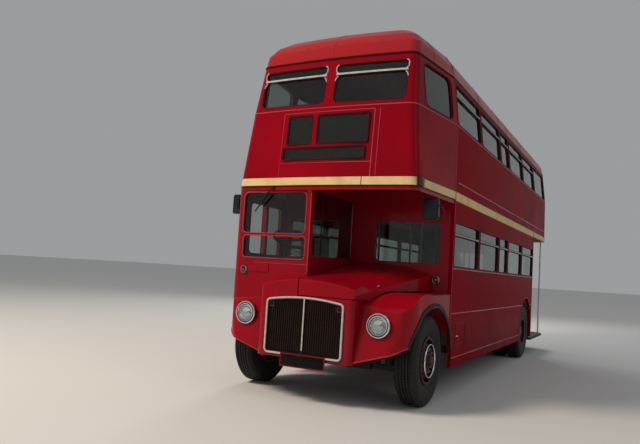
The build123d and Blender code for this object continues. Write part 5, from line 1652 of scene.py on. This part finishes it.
HATCH_LOW, HATCH_HIGH = (-2.880, 0.630), (-2.430, 0.890)
hatch = outlined(HATCH_LOW, HATCH_HIGH, lambda y, z: (half_width + 0.001, y, z), 0.0035)
finished(hatch, "flank_hatch", "bus", shade_dark_bead_enamel)
finished(pull_handle(half_width, -2.820, 0.735, 0.060), "flank_hatch_pull", "bus", chrome, 50)
finished(pull_handle(0.666, -4.090, 1.306, 0.070), "bonnet_handle", "bonnet", chrome, 50)

# %% Seams and flap below the windscreen
flap = strip(cab_skin, level(1.432, 0.100) + between("x", -0.914, -0.625) + ahead, 0.009)
seam_span = between("x", -0.835, -0.120)
seam_height = between("z", 1.400, 2.345)
cab_seams = [
    rounded(cut_line(cab_skin, (0, 0, 1.489), UP, seam_span + ahead), 0.0045),
    rounded(cut_line(cab_skin, (-0.108, 0, 0), ACROSS, seam_height + ahead), 0.007),
    disc((-0.140, screen_y - 0.002, 2.338), 0.020, 0.014, axis="y", sides=24, bevel=0.004),
]
finished(flap, "cab_front_flap", "bus", plain_enamel)
finished(cab_seams, "cab_front_beads", "bus", highlit_bead_enamel)

# %% [markdown]
# The floor is a plain pale sheet, the light is a soft studio sky with three broad lamps, and the
# camera stands where the photographer stood: to the kerb side of the nose at chest height,
# looking a little up.

# %% Floor, sky and lamps
deselect()
bpy.ops.mesh.primitive_plane_add(size=400, location=(0, 0, 0))
floor = bpy.context.active_object
floor.name = "studio_floor"
floor_material, tree, shader, place = new_material("pale_studio_floor", Roughness=0.9)
shade = noise(tree, place, 4000, detail=2)
link(tree, mix(tree, shade, srgb("#D5D4D1"), srgb("#DAD9D6")), shader, "Base Color")
floor.data.materials.append(floor_material)

world = bpy.data.worlds.new("studio_sky")
bpy.context.scene.world = world
world.use_nodes = True
sky = world.node_tree.nodes["Background"]
sky.inputs["Color"].default_value = srgb("#EEF1F4")
sky.inputs["Strength"].default_value = 0.38

# place, size, power, colour
studio_lamps = (
    ("key", (-7.5, -13.0, 13.0), 5.0, 2200.0, "#FFF0DC"),
    ("kerb_fill", (12.0, -5.0, 9.0), 6.0, 110.0, "#EAF1FF"),
    ("rear", (-6.0, 13.0, 9.0), 5.0, 600.0, "#FFFFFF"),
)
for name, place, size, power, colour in studio_lamps:
    deselect()
    bpy.ops.object.light_add(type="AREA", location=place)
    lamp = bpy.context.active_object
    lamp.name = name
    lamp.data.shape = "DISK"
    lamp.data.size = size
    lamp.data.energy = power
    lamp.data.color = srgb(colour)[:3]
    aim = Vector((0, 0, 2)) - Vector(place)
    lamp.rotation_euler = aim.to_track_quat("-Z", "Y").to_euler()
    lamp.visible_glossy = lamp.visible_transmission = name != "key"

# %% Camera
camera_place = Vector((3.291, -10.550, 1.440))
yaw, pitch, roll = 0.485, 0.077, 0.062
focal_px, frame_width = 624.14, 640
ahead_dir = Vector((-math.sin(yaw) * math.cos(pitch), math.cos(yaw) * math.cos(pitch), math.sin(pitch)))
level_right = Vector((math.cos(yaw), math.sin(yaw), 0))
level_up = level_right.cross(ahead_dir)
right = math.cos(roll) * level_right + math.sin(roll) * level_up
up = -math.sin(roll) * level_right + math.cos(roll) * level_up
deselect()
bpy.ops.object.camera_add()
camera = bpy.context.active_object
turn = Matrix((right, up, -ahead_dir)).transposed().to_4x4()
camera.matrix_world = Matrix.Translation(camera_place) @ turn
camera.data.sensor_width = 36
camera.data.lens = 36 * focal_px / frame_width
camera.data.clip_end = 500
bpy.context.scene.camera = camera
bpy.context.scene.view_settings.view_transform = "Standard"

# %% [markdown]
# The panels' nodes were still needed to cut the beads from. Now the merged copies take their
# places, and the skins that the lines were cut from go.

# %% Merged copies take their places
deselect()
for node_name, made in stand_ins.items():
    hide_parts(node_name)
for skin in skins:
    bpy.data.objects.remove(skin)
print(len(stand_ins), "panels replaced by merged copies")
